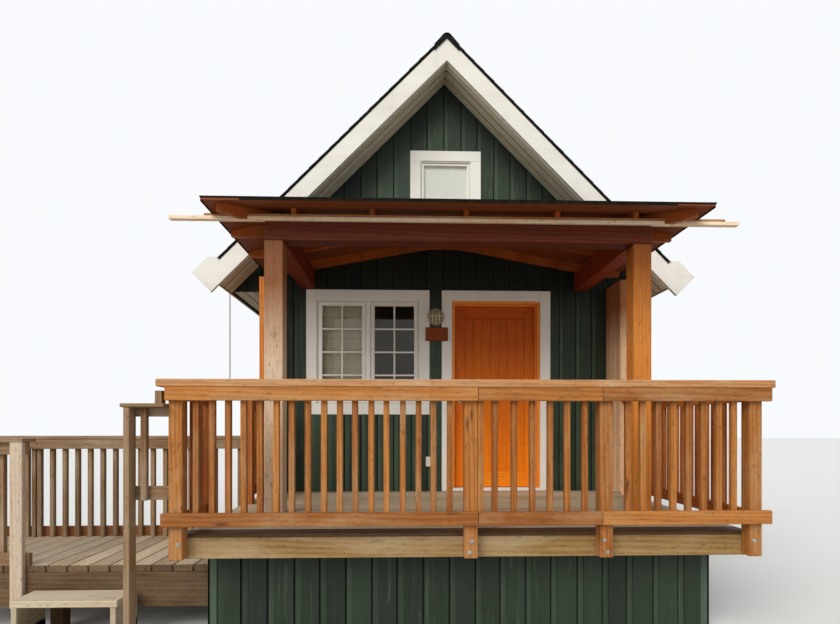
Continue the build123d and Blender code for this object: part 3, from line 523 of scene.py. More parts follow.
# Its outer colour is near-black, as painted shade where it shows in the grooves
wall_body = wall_core("wall_body", (22, 28, 24), (200, 192, 178))
soffit_stain = wood("soffit_stain", (236, 222, 196), (204, 188, 160), knots=0.2, grey=(218, 206, 184))
eave_stain = wood("eave_stain", (196, 178, 150), (156, 138, 112), knots=0.2, grey=(180, 168, 146))
bare_wood = wood("bare_wood", (206, 180, 144), (170, 140, 104), weather=0.4, grey=(190, 178, 160))
shingle = shingle_material()
cedar = wood("cedar_rail", (198, 130, 62), (138, 80, 34), weather=0.35, grey=(184, 148, 104), knots=0.7)
cedar_cap = wood("cedar_cap", (216, 158, 102), (160, 106, 60), weather=0.5, grey=(204, 174, 140),
                 knots=0.7)
cedar_red = wood("cedar_rail_red", (202, 122, 54), (146, 76, 28), weather=0.2, grey=(186, 146, 96))
screen_cedar = wood("cedar_screen", (228, 142, 50), (188, 102, 30), weather=0.15, grey=(206, 160, 108))
# A much paler copy of the screen cedar, as painted light on the right screen, with painted shade at its top
# under the porch roof
screen_lit = wood("cedar_screen_lit", (255, 216, 176), (238, 190, 146), weather=0.2,
                   grey=(244, 214, 184), top_shade=((206, 118, 44), 2.5, 2.9))
# The posts darken to painted shade at the top, under the porch roof
grey_post = wood("grey_post_wood", (226, 192, 158), (188, 150, 112), weather=0.5, grey=(218, 198, 176),
                 top_shade=((158, 84, 22), 2.2, 2.8))
gold_post = wood("gold_post_wood", (238, 162, 76), (200, 120, 44), weather=0.2, grey=(220, 170, 112),
                 top_shade=((160, 82, 16), 2.3, 3.0))
side_beam_wood = wood("side_beam_wood", (150, 56, 8), (104, 32, 2), weather=0.1, grey=(130, 62, 20),
                      knots=0.3)
# A darker copy of the side beams' wood: painted shade on the front beam, under the eave
front_beam_shaded_wood = wood("front_beam_shaded_wood", (104, 38, 4), (67, 20, 2), weather=0.1, grey=(92, 45, 14), knots=0.3)
rafter_wood = painted("rafter_stain", (186, 98, 36), (136, 62, 20), gloss=0.6, wear=0.5, along="y",
                      streak=(14, 14, 9))
sheathing_wood = wood("sheathing_wood", (150, 76, 28), (106, 50, 16), along="x", weather=0.1,
                      grey=(130, 78, 42), knots=0.3, felt=(44, 44, 46))
bleached = wood("bleached_plank", (255, 232, 194), (226, 186, 142), weather=0.6, grey=(248, 230, 204))
shim_wood = wood("shim_wood", (192, 130, 84), (124, 76, 42), weather=0.4, grey=(196, 160, 122))
end_grain = wood("board_end_grain", (132, 106, 78), (88, 66, 46), weather=0.4, grey=(126, 108, 86))
# The foremost deck board is darkened as painted shade under the front railing
shaded_deck_edge = wood("shaded_deck_edge_wood", (104, 76, 48), (72, 50, 30), grey=(100, 84, 64))
deck_grey = wood("weathered_deck", (212, 192, 162), (152, 130, 100), weather=0.5, grey=(194, 180, 160))
newel_wood = wood("landing_newel_wood", (212, 188, 162), (168, 142, 116), weather=0.5,
                  grey=(204, 190, 172))
tread_wood = wood("stair_tread", (216, 200, 172), (172, 154, 126), weather=0.5, grey=(204, 196, 178))
rim_wood = wood("deck_rim_wood", (176, 142, 90), (124, 92, 48), weather=0.55, grey=(182, 158, 122),
                knots=0.9)
landing_wood = wood("landing_rail_wood", (166, 134, 98), (116, 84, 54), weather=0.5, grey=(168, 148, 124))
landing_red = wood("landing_foot_board", (150, 92, 52), (104, 60, 30), weather=0.5, grey=(142, 110, 80))
landing_beam = wood("landing_beam_wood", (124, 98, 66), (82, 60, 38), along="x", weather=0.4,
                    grey=(118, 100, 78))
# The door darkens to painted shade towards its top, under the porch roof
door_wood = wood("door_wood", (255, 152, 16), (238, 118, 0), weather=0.0, knots=0.25, gloss=0.5,
                 grey=(255, 144, 8), top_shade=((236, 94, 0), 1.3, 3.0))
jamb_wood = wood("jamb_wood", (255, 170, 74), (232, 134, 48), along="z", weather=0.0, knots=0.25,
                 gloss=0.5, grey=(248, 158, 66))
room_floor = wood("room_floor", (176, 136, 90), (130, 92, 56), along="y", weather=0.1)
plaque_wood = wood("plaque_wood", (172, 84, 28), (128, 58, 18), weather=0.1, knots=0.1)
roof_metal = metal("dark_roof_metal", (34, 30, 25), 0.75, metallic=0.0, shine=0.04)
galvanised = metal("galvanised", (190, 190, 186), 0.38)
steel = metal("brushed_steel", (176, 172, 164), 0.32)
cast_metal = metal("cast_light_body", (232, 214, 184), 0.5, metallic=0.2)
chain_metal = metal("dark_chain", (92, 84, 78), 0.45)
glass = glass_material()
blind_cloth = painted("blind_slats", (212, 208, 186), (198, 194, 172), gloss=0.5, wear=0.05)
pale_blind = painted("roller_blind", (250, 252, 252), (240, 246, 246), gloss=0.6, wear=0.0)
lamp_glass = painted("lamp_glass", (158, 140, 112), (128, 112, 90), gloss=0.25, wear=0.1, along="y")
socket_plastic = painted("socket_plastic", (226, 220, 206), (210, 204, 190), gloss=0.4, wear=0.05)


# Boarding on the walls
def spans(start, end, holes):
    """Cut an upright stretch at the holes that it meets, and give what is left."""
    left = [(start, end)]
    for hole_start, hole_end in holes:
        parts = [part for first, last in left
                 for part in ((first, min(last, hole_start)), (max(first, hole_end), last))]
        left = [(first, last) for first, last in parts if first < last]
    return left


def boarding(name, turn, half, foot, top, holes, seed):
    """Cover a wall with upright boards; half is half its width, and top gives the height at a place."""
    made = Pieces(seed)
    count = round(2 * half / BOARD_PITCH)
    edges = evenly(-half, half, count + 1)
    for number in range(1, count):
        edges[number] += made.random.uniform(-0.006, 0.006)
    cuts = sorted({0.0, *(side for hole in holes for side in hole[:2])})
    least_height = 0.002
    for first, last in zip(edges, edges[1:]):
        tone = made.random.uniform(0.0, 0.7)
        proud = BOARD_PROUD + made.random.uniform(-0.001, 0.001)
        start, end = first + GROOVE / 2, last - GROOVE / 2
        lip_end = start + LIP_WIDTH
        # The lip strip takes a paler tone as a painted highlight
        strips = ((start, lip_end, LIP_PROUD, tone + LIP_HIGHLIGHT), (lip_end, end, proud, tone))
        for strip_start, strip_end, depth, shade in strips:
            stops = [strip_start, *(cut for cut in cuts if strip_start < cut < strip_end), strip_end]
            for left, right in zip(stops, stops[1:]):
                crossed = [hole[2:] for hole in holes if hole[0] < (left + right) / 2 < hole[1]]
                tops = top(left), top(right)
                for bottom, stop in spans(foot, max(tops), crossed):
                    heights = [min(stop, height) for height in tops]
                    if min(heights) - bottom >= least_height:
                        outline = ((left, bottom), (right, bottom), (right, heights[1]), (left, heights[0]))
                        made.prism(outline, (-depth, 0.0), turn, shade)
    made.finish(name, siding_paint, "siding")


def facing(x, y, angle):
    """Place a wall that is drawn facing the front at a point, turned about the vertical."""
    return Matrix.Translation((x, y, 0)) @ Matrix.Rotation(math.radians(angle), 4, "Z")


def hole_of(node, axis=0, middle=0.0):
    """The hole that a node makes in the boarding of a wall along an axis, measured from its middle."""
    start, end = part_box(node)
    return (start[axis] - middle, end[axis] - middle, start.z, end.z)


def gable_top(place):
    """Height of the underside of the roof at a place along a gable."""
    return PEAK - abs(place) - 0.004


def porch_roof_holes():
    """The holes, in steps under each slope, that the porch roof and its rafters make in the boarding."""
    start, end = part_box("porch_roof")
    reach = end.y - start.y
    slope = (end.z - SHEATHING - start.z) / reach
    below, above = 0.002, 0.028
    hip_half, hip_drop = 0.26, 0.100
    sides = evenly(start.x, end.x, 41)
    holes = []
    for left, right in zip(sides, sides[1:]):
        near, far = sorted((abs(left), abs(right)))
        under = start.z + slope * min(end.x - far, reach) - below
        over = start.z + slope * min(end.x - near, reach) + above
        if near < hip_half:
            under -= hip_drop
        holes.append((left, right, under, over))
    return holes


def gable_boarding(name, y, angle, foot, holes, seed):
    """Board a gable wall, with the parts of the gable that reach over the eaves."""
    boarding("siding_" + name, facing(0, y, angle), HALF_HOUSE, foot, gable_top, holes, seed)
    way = 1 if angle == 0 else -1
    for side, side_name in SIDES:
        centre = side * (HALF_HOUSE + GABLE_HALF) / 2
        boarding("siding_eave_" + name + "_" + side_name, facing(centre, y, angle),
                 (GABLE_HALF - HALF_HOUSE) / 2, SOFFIT,
                 lambda place, shift=way * centre: gable_top(place + shift), [], seed + 1)


def wall_boarding():
    """Board the front, the sides and the back."""
    openings = [hole_of(node) for node in ("front_window", "door_trim", "upper_window")]
    gable_boarding("front", FRONT, 0, DECK_TOP, openings + porch_roof_holes(), 3)
    middle = (FRONT + BACK) / 2
    for side, name in SIDES:
        boarding("siding_" + name, facing(side * HALF_HOUSE, middle, side * 90), (BACK - FRONT) / 2,
                 0.0, lambda place: SOFFIT, [hole_of(name + "_window", 1, middle)], 5 + side)
    gable_boarding("back", BACK, 180, 0.0, [], 8)


def skirt_boarding():
    """Board the skirt walls under the porch, with one bare edge at the left end of the front one."""
    start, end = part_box("skirt_front")
    left, right, clear = start.x - WALL, end.x + WALL, 0.03
    boarding("siding_skirt_front", facing((left + right) / 2, start.y, 0), (right - left) / 2 - clear,
             0.0, lambda place: end.z, [], 11)
    bare_left, bare_right = -1.6855, -1.6785
    one_board(13, "skirt_bare_edge", (bare_left, start.y - 0.008, 0.0), (bare_right, start.y, end.z - 0.01),
              2, 0.001, bare_wood, "siding")
    for x, angle, name in ((left, -90, "left"), (right, 90, "right")):
        boarding("siding_skirt_" + name, facing(x, (FRONT + start.y) / 2, angle), (FRONT - start.y) / 2,
                 0.0, lambda place: end.z, [], 12)


def sill_strips():
    """Cover the edge of the floor slab, which would show in the grooves of the boarding, with the grooves'
    near-black painted shade.
    """
    made = Pieces(22)
    start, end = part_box("floor")
    sheet = 0.003
    for side in (-1, 1):
        made.block((side * end.x, start.y, start.z), (side * (end.x + sheet), end.y, end.z), 1, None, 0.0)
    made.block((start.x, start.y - sheet, DECK_TOP), (end.x, start.y, end.z), 0, None, 0.0)
    made.block((start.x, end.y, start.z), (end.x, end.y + sheet, end.z), 0, None, 0.0)
    made.finish("sill_strips", groove_shade_paint, "siding")


def corner_boards():
    """Cover the corners of the boarding with narrow upright boards."""
    made = Pieces(21)
    start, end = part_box("skirt_front")
    width, proud = 0.045, 0.018
    for side, skirt_x in ((-1, start.x - WALL), (1, end.x + WALL)):
        corners = ((skirt_x, start.y, 1, end.z), (side * HALF_HOUSE, BACK, -1, SOFFIT))
        for x, y, inward, top in corners:
            outer_x, outer_y = x + side * proud, y - inward * proud
            made.board((x - side * width, y, 0), (outer_x, outer_y, top))
            made.board((x, outer_y, 0), (outer_x, y + inward * width, top))
    made.finish("corner_boards", corner_paint, "siding")


# Roof
def slope_matrix(side, y):
    """Stand on the top of a roof slope: X runs up the slope, Y along the ridge and Z away from it."""
    up, out = Vector((-side, 0, 1)).normalized(), Vector((side, 0, 1)).normalized()
    turn = Matrix((up, -side * Y, out)).transposed()
    return Matrix.Translation((0, y, high("roof_left").z)) @ turn.to_4x4()


def shingles(name, side, seed):
    """Lay courses of shingles on one roof slope, over the top edges of the barge boards."""
    made = Pieces(seed)
    start = low("barge_front_left").y - SHINGLE_OVERHANG
    end = high("barge_back_left").y
    half = (end - start) / 2
    past_eave, below_ridge, lap = 0.02, 0.01, 1.25
    run = high("roof_right").x * math.sqrt(2) + past_eave
    turn = slope_matrix(side, (start + end) / 2)
    for course in range(math.ceil(run / SHINGLE_COURSE)):
        lower = -run + course * SHINGLE_COURSE
        upper = min(lower + SHINGLE_COURSE * lap, -below_ridge)
        place = -half
        width = SHINGLE_WIDTH * (0.5 if course % 2 else 1.0)
        while place < half - 0.001:
            stop = min(place + width - SHINGLE_GAP, half)
            lift = SHINGLE_THICKNESS + made.random.uniform(-0.0015, 0.0015)
            tail = lower + made.random.uniform(-0.004, 0.004)
            outline = ((tail, 0.0), (upper, 0.0), (upper, SHINGLE_THIN_END), (tail, lift))
            made.prism(outline, (place, stop), turn)
            place += width
            width = SHINGLE_WIDTH
    made.finish(name, shingle, "roof_metal")


def porch_course(made, lower, upper):
    """Lay one course of shingles between two level lines, each given by its two ends."""
    length = math.dist(*lower)
    cells = max(2, round(length / SHINGLE_WIDTH))
    for cell in range(cells):
        shares = (cell / cells, (cell + 1) / cells - 0.006)
        rows = [[[a + (b - a) * share for a, b in zip(*line)] for share in shares]
                for line in (lower, upper)]
        points = [*rows[0], *rows[1][::-1]]
        lifts = [SHINGLE_THICKNESS] * 2 + [SHINGLE_THIN_END] * 2
        raised = [(x, y, z + lift) for (x, y, z), lift in zip(points, lifts)]
        made.shape(points + raised, tube_faces(4))


def porch_covering():
    """Lay shingles on the front slope and the two side slopes of the porch roof."""
    made = Pieces(31)
    start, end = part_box("porch_roof")
    reach = end.y - start.y
    eave = start.z + SHEATHING
    slope = (end.z - eave) / reach
    lap = 1.2

    def line(face, inward):
        """The ends of the level line at a distance inward from the front (0) or from one side."""
        out, y, height = end.x - inward, start.y + inward, eave + slope * inward
        if face == 0:
            return (-out, y, height), (out, y, height)
        return (face * out, y, height), (face * out, end.y, height)

    for number in range(math.ceil(reach / SHINGLE_COURSE)):
        near = number * SHINGLE_COURSE
        far = min(near + SHINGLE_COURSE * lap, reach)
        for face in (0, -1, 1):
            porch_course(made, line(face, near), line(face, far))
    made.finish("porch_shingles", shingle, "roof_metal")


def porch_edge():
    """Add the roofing's dark edge, the metal strip along the front eave and those along the sides."""
    made = Pieces(33)
    start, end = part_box("porch_roof")
    top = start.z + SHEATHING
    proud, lap = 0.008, 0.010
    made.block((start.x - proud, start.y - 0.006, top), (end.x + proud, start.y + lap, top + 0.011), 0)
    strip_left, strip_right = -1.687, 1.674
    made.block((strip_left, start.y - SHEET, start.z), (strip_right, start.y, top + 0.003), 0)
    for side in (-1, 1):
        made.block((side * end.x, start.y + lap, start.z - proud),
                   (side * (end.x + proud), end.y, top + SHEATHING), 1)
    made.finish("porch_drip_edge", roof_metal, "roof_metal")


def gable_edges():
    """Fold dark metal over the top edges of the barge boards, and cap the ridge."""
    made, cap = Pieces(35), Pieces(36)
    top, eave = high("roof_left").z, high("roof_right").x
    reach, cap_top = high("ridge_cap").x, high("ridge_cap").z
    front, back = low("barge_front_left").y, high("barge_back_left").y
    drop, cap_drop, crown_drop = 0.028, 0.046, 0.010
    round_top = ((0.016, 0.012), (0.034, 0.022))
    for side in (-1, 1):
        made.prism(((0, top), (side * eave, top - eave), (side * eave, top - eave - drop),
                    (0, top - drop)), (front - SHEET, front))
        crown = [(0, cap_top - crown_drop), *((side * x, cap_top - fall) for x, fall in round_top)]
        for fall, depth in ((cap_drop, (front - 3 * SHEET, front - 2 * SHEET)),
                            (SHEET, (front - 3 * SHEET, back))):
            cap.prism((*crown, (side * reach, cap_top - reach), (side * reach, top - reach - fall),
                       (0, top - fall)), depth)
    made.finish("gable_edge_metal", roof_metal, "roof_metal")
    cap.finish("ridge_fold", roof_metal, "roof_metal", replaced=["ridge_cap"])


def eave_fascias():
    """Add a thin bare board under each gutter, behind the tails of the barge boards."""
    made = Pieces(37)
    eave = high("roof_right").x
    thickness, drop = 0.022, 0.012
    for side in (-1, 1):
        made.board((side * eave, high("barge_front_left").y, low("roof_left").z - drop),
                   (side * (eave + thickness), low("barge_back_left").y, low("gutter_left").z), 1)
    made.finish("eave_fascias", bare_wood, "soffit")


def soffit_boards():
    """Line the undersides of the roof's front and back overhangs with three boards on each slope."""
    made = Pieces(41)
    length = (high("roof_right").x - 0.002) * math.sqrt(2)
    for start, end in ((high("barge_front_left").y, FRONT), (BACK, low("barge_back_left").y)):
        width = (end - start) / 3
        for side in (-1, 1):
            turn = Matrix.Translation((0, 0, PEAK)) @ Matrix.Rotation(side * math.radians(45), 4, "Y")
            for number in range(3):
                near = start + number * width
                made.board((side * 0.006, near, -0.006), (side * length, near + width - 0.020, 0.0),
                           0, 0.002, turn)
    made.finish("soffit_boards", soffit_stain, "soffit")


def eave_boards():
    """Line the undersides of the eaves with four boards on each side."""
    pitch = (GABLE_HALF - HALF_HOUSE) / 4
    for side, name in SIDES:
        made = Pieces(43 + side)
        for number in range(4):
            inner = HALF_HOUSE + number * pitch + 0.002
            made.board((side * inner, FRONT, SOFFIT - 0.010), (side * (inner + pitch - 0.010), BACK, SOFFIT),
                       1, 0.002)
        made.finish("eave_boards_" + name, eave_stain, "soffit")


# Windows
def roller_blind(node, turn, left, right, foot, top):
    """Hang a pale blind close behind the pane."""
    made = Pieces(node + "_blind")
    made.block((left, 0.041, foot), (right, 0.043, top), 2, turn)
    made.finish(node + "_roller_blind", pale_blind, "window_paint")


def slat_blind(node, turn, left, right, foot, top):
    """Hang tilted slats in the room behind a sash."""
    made = Pieces(node + "_slats")
    while foot < top:
        tilt = Matrix.Translation((0, 0.085, foot)) @ Matrix.Rotation(math.radians(-62), 4, "X")
        made.block((left, -0.012, 0.0), (right, 0.012, 0.0015), 0, turn @ tilt)
        foot += 0.024
    made.finish(node + "_blind_slats", blind_cloth, "window_paint")


def window(node, face, sashes, columns, rows, blind=None):
    """Build a casement window over its node: casing, frame, sashes, glazing bars, panes and blind."""
    made, start, end = started(node)
    middle = (start + end) / 2
    across = 0 if face == "front" else 1
    turn = {"front": facing(middle.x, FRONT, 0), "left": facing(-HALF_HOUSE, middle.y, -90),
            "right": facing(HALF_HOUSE, middle.y, 90)}[face]
    half, height = (end[across] - start[across]) / 2, end.z - start.z
    proud, frame_width, gap, rebate = 0.020, 0.012, 0.003, 0.004
    mullion, stile = (0.050, 0.042) if sashes == 2 else (0.0, 0.024)
    sash_depth, bar_half = (0.004, 0.050), 0.009

    def bar(places, levels, depth, along, edge=EDGE):
        """Add a board between two places across, two levels above the window's foot and two depths."""
        made.board(*zip(places, depth, [start.z + level for level in levels]), along, edge, turn)

    def edging(half, foot, top, width, depth, sill_depth):
        """Add four boards round an opening, the level ones running through."""
        bar((-half, half), (top - width, top), depth, 0)
        bar((-half, half), (foot, foot + width), sill_depth, 0)
        bar((-half, width - half), (foot + width, top - width), depth, 2)
        bar((half - width, half), (foot + width, top - width), depth, 2)

    edging(half, 0.0, height, CASING, (-proud, 0.0), (-proud, 0.0))
    edging(half - CASING, CASING, height - CASING, frame_width, (-0.008, 0.066), (-0.014, 0.066))
    opening = half - CASING - frame_width - gap
    foot = CASING + frame_width + gap
    top = height - foot
    limits = [(-opening, opening)]
    if sashes == 2:
        bar((-mullion / 2, mullion / 2), (foot - gap, top + gap), (-0.004, 0.066), 2)
        limits = [(-opening, -mullion / 2 - gap), (mullion / 2 + gap, opening)]
    light_foot, light_top = foot + stile * 1.2, top - stile
    for left, right in limits:
        light = (left + stile, right - stile)
        bar((left, light[0]), (foot, top), sash_depth, 2)
        bar((light[1], right), (foot, top), sash_depth, 2)
        bar(light, (light_top, top), sash_depth, 0)
        bar(light, (foot, light_foot), sash_depth, 0)
        for centre in evenly(*light, columns + 1)[1:-1]:
            bar((centre - bar_half, centre + bar_half), (light_foot, light_top), (0.012, 0.034), 2, 0.004)
        for level in evenly(light_foot, light_top, rows + 1)[1:-1]:
            bar(light, (level - bar_half, level + bar_half), (0.013, 0.034), 0, 0.004)
    made.stand_in(node, trim_paint, "window_paint", "_joinery")
    panes = Pieces(node + "_panes")
    for left, right in limits:
        panes.block((left + stile - rebate, 0.035, start.z + light_foot - rebate),
                    (right - stile + rebate, 0.039, start.z + light_top + rebate), 2, turn)
    panes.finish(node + "_panes", glass, "window_glass", replaced=[node + "_glass"])
    if blind == "roller":
        roller_blind(node, turn, stile - opening, opening - stile, start.z + foot + stile,
                     start.z + top - stile)
    if blind == "slats":
        left, right = limits[0]
        slat_blind(node, turn, left + 0.03, right - 0.03, start.z + foot + 0.02, start.z + top - 0.03)


# Door, hung on its own body
def door_leaf():
    """Build the door as two stiles, two rails and seven planks."""
    made, start, end = started("door")
    stile, top_rail, bottom_rail, set_back = 0.120, 0.138, 0.180, 0.010
    left, right = start.x + stile, end.x - stile
    foot, top = start.z + bottom_rail, end.z - top_rail
    for first, last, along in ((start, (left, end.y, end.z), 2), ((right, start.y, start.z), end, 2),
                               ((left, start.y, top), (right, end.y, end.z), 0),
                               ((left, start.y, start.z), (right, end.y, foot), 0)):
        made.board(first, last, along, 0.002)
    edges = evenly(left, right, 8)
    for near, far in zip(edges, edges[1:]):
        made.board((near, start.y + set_back, foot), (far, end.y - set_back, top), 2, 0.004)
    made.finish("door_leaf", door_wood, "door_timber", "front_door", ["door"])


def door_surround():
    """Build the casing round the doorway, its sill and the threshold."""
    made, start, end = started("door_trim")
    left, right, floor = start.x + CASING, end.x - CASING, high("floor").z
    made.board(start, (left, FRONT, end.z))
    made.board((right, start.y, start.z), (end.x, FRONT, end.z))
    made.board((left, start.y, end.z - CASING), (right, FRONT, end.z), 0)
    made.board((left, start.y, start.z), (right, FRONT, start.z + 0.030), 0)
    threshold = (low("door").x - 0.008, high("door").x + 0.005)
    made.board((threshold[0], FRONT, floor), (threshold[1], FRONT + WALL, floor + 0.020), 0)
    made.finish("door_casing", trim_paint, "window_paint", replaced=["door_trim"])


# Railings
def uprights(made, places, near, foot, top):
    """Stand balusters at places along the front, each with its near face at one depth."""
    for middle in places:
        made.board((middle - THICK / 2, near, foot), (middle + THICK / 2, near + THICK, top))


def front_railing():
    """Build the three bays of the front railing board by board, under one long cap."""
    start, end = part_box("front_rail_left")
    last_start, last_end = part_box("front_rail_right")
    cap_end, rail_end, joint = 0.108, 0.090, 0.0015
    posts = (start.x + cap_end, end.x - NARROW / 2, last_start.x + 0.037, last_end.x - cap_end)
    front = start.y + 0.006
    back = front + THICK
    foot = DECK_TOP + RAIL_FOOT
    top = end.z - CAP_THICK
    left_gap, left_end_gap, right_gap = 0.129, 0.143, 0.146
    middle_steps = (0.0635, 0.156, 0.284, 0.409, 0.526, 0.643, 0.761)
    bays = (("front_rail_left", posts[0] - rail_end, end.x, (0.010, 0.037),
             evenly(posts[0] + left_gap, posts[1] - left_end_gap, 17), posts[:2]),
            ("front_rail_middle", end.x, last_start.x, (joint, joint),
             [posts[1] + step for step in middle_steps], ()),
            ("front_rail_right", last_start.x, posts[3] + rail_end, (joint, joint),
             evenly(posts[2] + right_gap, posts[3] - right_gap, 8), posts[2:]))
    for node, left, right, cuts, balusters, own_posts in bays:
        made = Pieces(node)
        for cut, level in zip(cuts, (foot, top - NARROW)):
            made.board((left + cut, front, level), (right - joint, back, level + NARROW), 0)
        for middle in balusters:
            lean = made.random.uniform(-0.002, 0.002)
            turn = Matrix.Translation((middle, 0, 0)) @ Matrix.Shear("XY", 4, (lean, 0))
            made.board((-THICK / 2, back, foot), (THICK / 2, back + THICK, top), 2, EDGE, turn)
        for post in own_posts:
            made.board((post - NARROW / 2, back, start.z), (post + NARROW / 2, back + NARROW, top), 2, 0.005)
        made.stand_in(node, cedar, "rail_timber")
    one_board("front_rail_cap", "front_rail_cap", (start.x, start.y, top),
              (last_end.x, start.y + CAP_WIDTH, end.z), 0, 0.005, cedar_cap, "rail_timber")
    post_bolts(posts, back)


def post_bolts(posts, face):
    """Add the washers and bolt heads that hold the posts to the rim."""
    made = Pieces("bolts")
    rim_top = high("deck_frame").z
    washer, washer_radius = 0.003 * Y, 0.013
    head, head_radius = 0.009 * Y, 0.008
    bolts = ((0, 0.018, 0.024), (1, 0.005, 0.014), (1, -0.011, 0.090),
             (2, -0.015, 0.014), (2, 0.005, 0.092), (3, -0.012, 0.024))
    for number, aside, drop in bolts:
        place = Vector((posts[number] + aside, face, rim_top - drop))
        made.rod(place, place - washer, washer_radius, 16)
        made.rod(place - washer, place - head, head_radius, 6)
    made.finish("post_bolts", galvanised, "hardware")


def side_railing(node):
    """Build a rail along one side of the porch, with the post that stands at its free end."""
    made, start, end = started(node)
    middle = (start.x + end.x) / 2
    inner, outer = middle - THICK / 2, middle + THICK / 2
    foot = DECK_TOP + RAIL_FOOT
    top = end.z - CAP_THICK
    near, far, cap_near = start.y, end.y, low("front_rail_left").y + CAP_WIDTH
    if node == "side_rail_left":
        far = end.y - THICK
        made.board((middle - NARROW / 2, far, DECK_TOP), (middle + NARROW / 2, end.y, top))
    if node == "side_rail_rear":
        near, cap_near = start.y + NARROW, start.y
        made.board((-HALF_HOUSE - NARROW, start.y, DECK_TOP), (-HALF_HOUSE, near, top))
    for level in (foot, top - NARROW):
        made.board((inner, near, level), (outer, far, level + NARROW), 1)
    made.board((middle - CAP_WIDTH / 2, cap_near, top), (middle + CAP_WIDTH / 2, end.y, end.z), 1, 0.005)
    count = int((far - near) // 0.110)
    for place in evenly(near, far, count + 2)[1:-1]:
        made.board((inner, place - THICK / 2, foot + NARROW), (outer, place + THICK / 2, top - NARROW))
    made.stand_in(node, cedar_red, "rail_timber")


def screen(node, side, material):
    """Build a side screen: its post, upright boards and two battens."""
    made, start, end = started(node)
    face = side * HALF_HOUSE
    width, gap, lift = 0.126, 0.006, 0.030
    made.board((face, start.y, start.z), (face + side * NARROW, start.y + NARROW, end.z), 2, 0.004)
    for number in range(round((end.y - start.y + gap) / (width + gap))):
        near = start.y + number * (width + gap)
        made.board((face, near, start.z + lift), (face - side * 0.019, near + width, end.z))
    for height in (start.z + lift, end.z - NARROW):
        made.board((face, start.y + NARROW, height), (face + side * THICK, FRONT, height + NARROW), 1)
    made.stand_in(node, material, "screen_timber")


def landing_rear_rail():
    """Build the landing's rear rail with its cap, red foot board and balusters, one of them doubled."""
    made, start, end = started("landing_rail_rear")
    floor = high("landing_deck").z
    back = high("landing_deck").y
    near = back - 2 * THICK
    top = end.z - LANDING_CAP
    one_board("landing_foot", "landing_foot_board", (start.x, back - THICK, floor),
              (end.x, back, floor + NARROW), 0, EDGE, landing_red, "landing_timber")
    made.board((start.x, near - THICK, top - NARROW), (end.x, near, top), 0)
    made.board((start.x, start.y, top), end, 0)
    fitted, doubled = -3.426, -3.814
    places = [fitted + number * LANDING_PITCH for number in range(-6, 14)]
    uprights(made, [*places, doubled], near, floor, top)
    made.stand_in("landing_rail_rear", landing_wood, "landing_timber")


def landing_front_rail():
    """Build the landing's front rail between its two newels."""
    made, start, end = started("landing_rail_front")
    floor = high("landing_deck").z
    near = low("landing_deck").y
    top = high("landing_rail_rear").z - LANDING_CAP
    newel_right = end.x - 0.094
    rail_end = newel_right + 0.004
    made.board((start.x, near, floor), (newel_right + 0.024, near + THICK, floor + NARROW), 0)
    made.board((start.x, near, top - NARROW), (rail_end, near + THICK, top), 0)
    made.board((start.x, near - THICK, top), (rail_end, near - THICK + CAP_WIDTH, end.z), 0)
    newels = Pieces("landing_newels")
    for left in (newel_right - NARROW, start.x):
        newels.board((left, near - THICK, start.z), (left + NARROW, near, top), 2, 0.004)
    newels.finish("landing_newels", newel_wood, "landing_timber")
    span = newel_right - start.x - 2 * NARROW
    places = [newel_right - NARROW - (number + 1) * LANDING_PITCH
              for number in range(int(span // LANDING_PITCH))]
    uprights(made, places, near + THICK, floor, top)
    made.stand_in("landing_rail_front", landing_wood, "landing_timber")


def entry_rail():
    """Build the entry post and its short rail beside the steps, with a weathered block on the cap."""
    made, start, end = started("entry_rail")
    left = start.x + THICK / 2
    near = start.y + 0.006 + NARROW
    top = end.z - 0.025
    lower_top = DECK_TOP + 0.323
    made.board((left, near - NARROW, start.z), (left + THICK, near, top))
    made.board((left, near, top - 0.058), (end.x, near + THICK, top), 0)
    made.board((left, near, lower_top - NARROW), (end.x, near + THICK, lower_top), 0)
    uprights(made, [end.x - 0.154], near - THICK, lower_top - NARROW, top)
    made.board((start.x, start.y, top), (end.x, near + THICK, end.z), 0)
    block_left, block_right, block_height = -2.060, -2.014, 0.086
    made.board((block_left, near - 0.020, end.z), (block_right, near + THICK, end.z + block_height))
    made.stand_in("entry_rail", landing_wood, "landing_timber")


# Decks, landing and steps
def porch_deck():
    """Lay the boards of the porch deck; the foremost is a piece of its own, darkened as painted shade under
    the front railing.
    """
    made, start, end = started("porch_deck")
    foremost, *others = row(start.y, end.y, CAP_WIDTH, 0.005)
    for near, far in others:
        made.board((start.x, near, start.z), (end.x, far, end.z), 0)
    made.stand_in("porch_deck", deck_grey, "weathered_deck")
    one_board("porch_deck_edge", "porch_deck_edge", start, (end.x, foremost[1], end.z), 0, EDGE,
              shaded_deck_edge, "weathered_deck", ["porch_deck"])


def deck_frame():
    """Build the rim along the front of the deck and nine joists behind it."""
    made, start, end = started("deck_frame")
    for left in evenly(start.x, end.x - THICK, 9):
        made.board((left, start.y + THICK, start.z), (left + THICK, end.y, end.z), 1)
    made.board(start, (end.x, start.y + THICK, end.z), 0)
    made.stand_in("deck_frame", rim_wood, "deck_rim")


def landing_deck():
    """Lay the boards of the landing, with the dark end grain of each as a piece of its own."""
    start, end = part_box("landing_deck")
    made, ends = Pieces("landing_deck"), Pieces("landing_board_ends")
    end_length = 0.018
    for left, right in row(start.x, end.x, CAP_WIDTH, 0.010):
        near = start.y + made.random.uniform(-0.004, 0.0)
        made.board((left, near + end_length, start.z), (right, end.y, end.z), 1, 0.005)
        ends.board((left, near, start.z), (right, near + end_length, end.z), 1, 0.005)
    made.stand_in("landing_deck", deck_grey, "weathered_deck")
    ends.finish("landing_board_ends", end_grain, "weathered_deck", replaced=["landing_deck"])


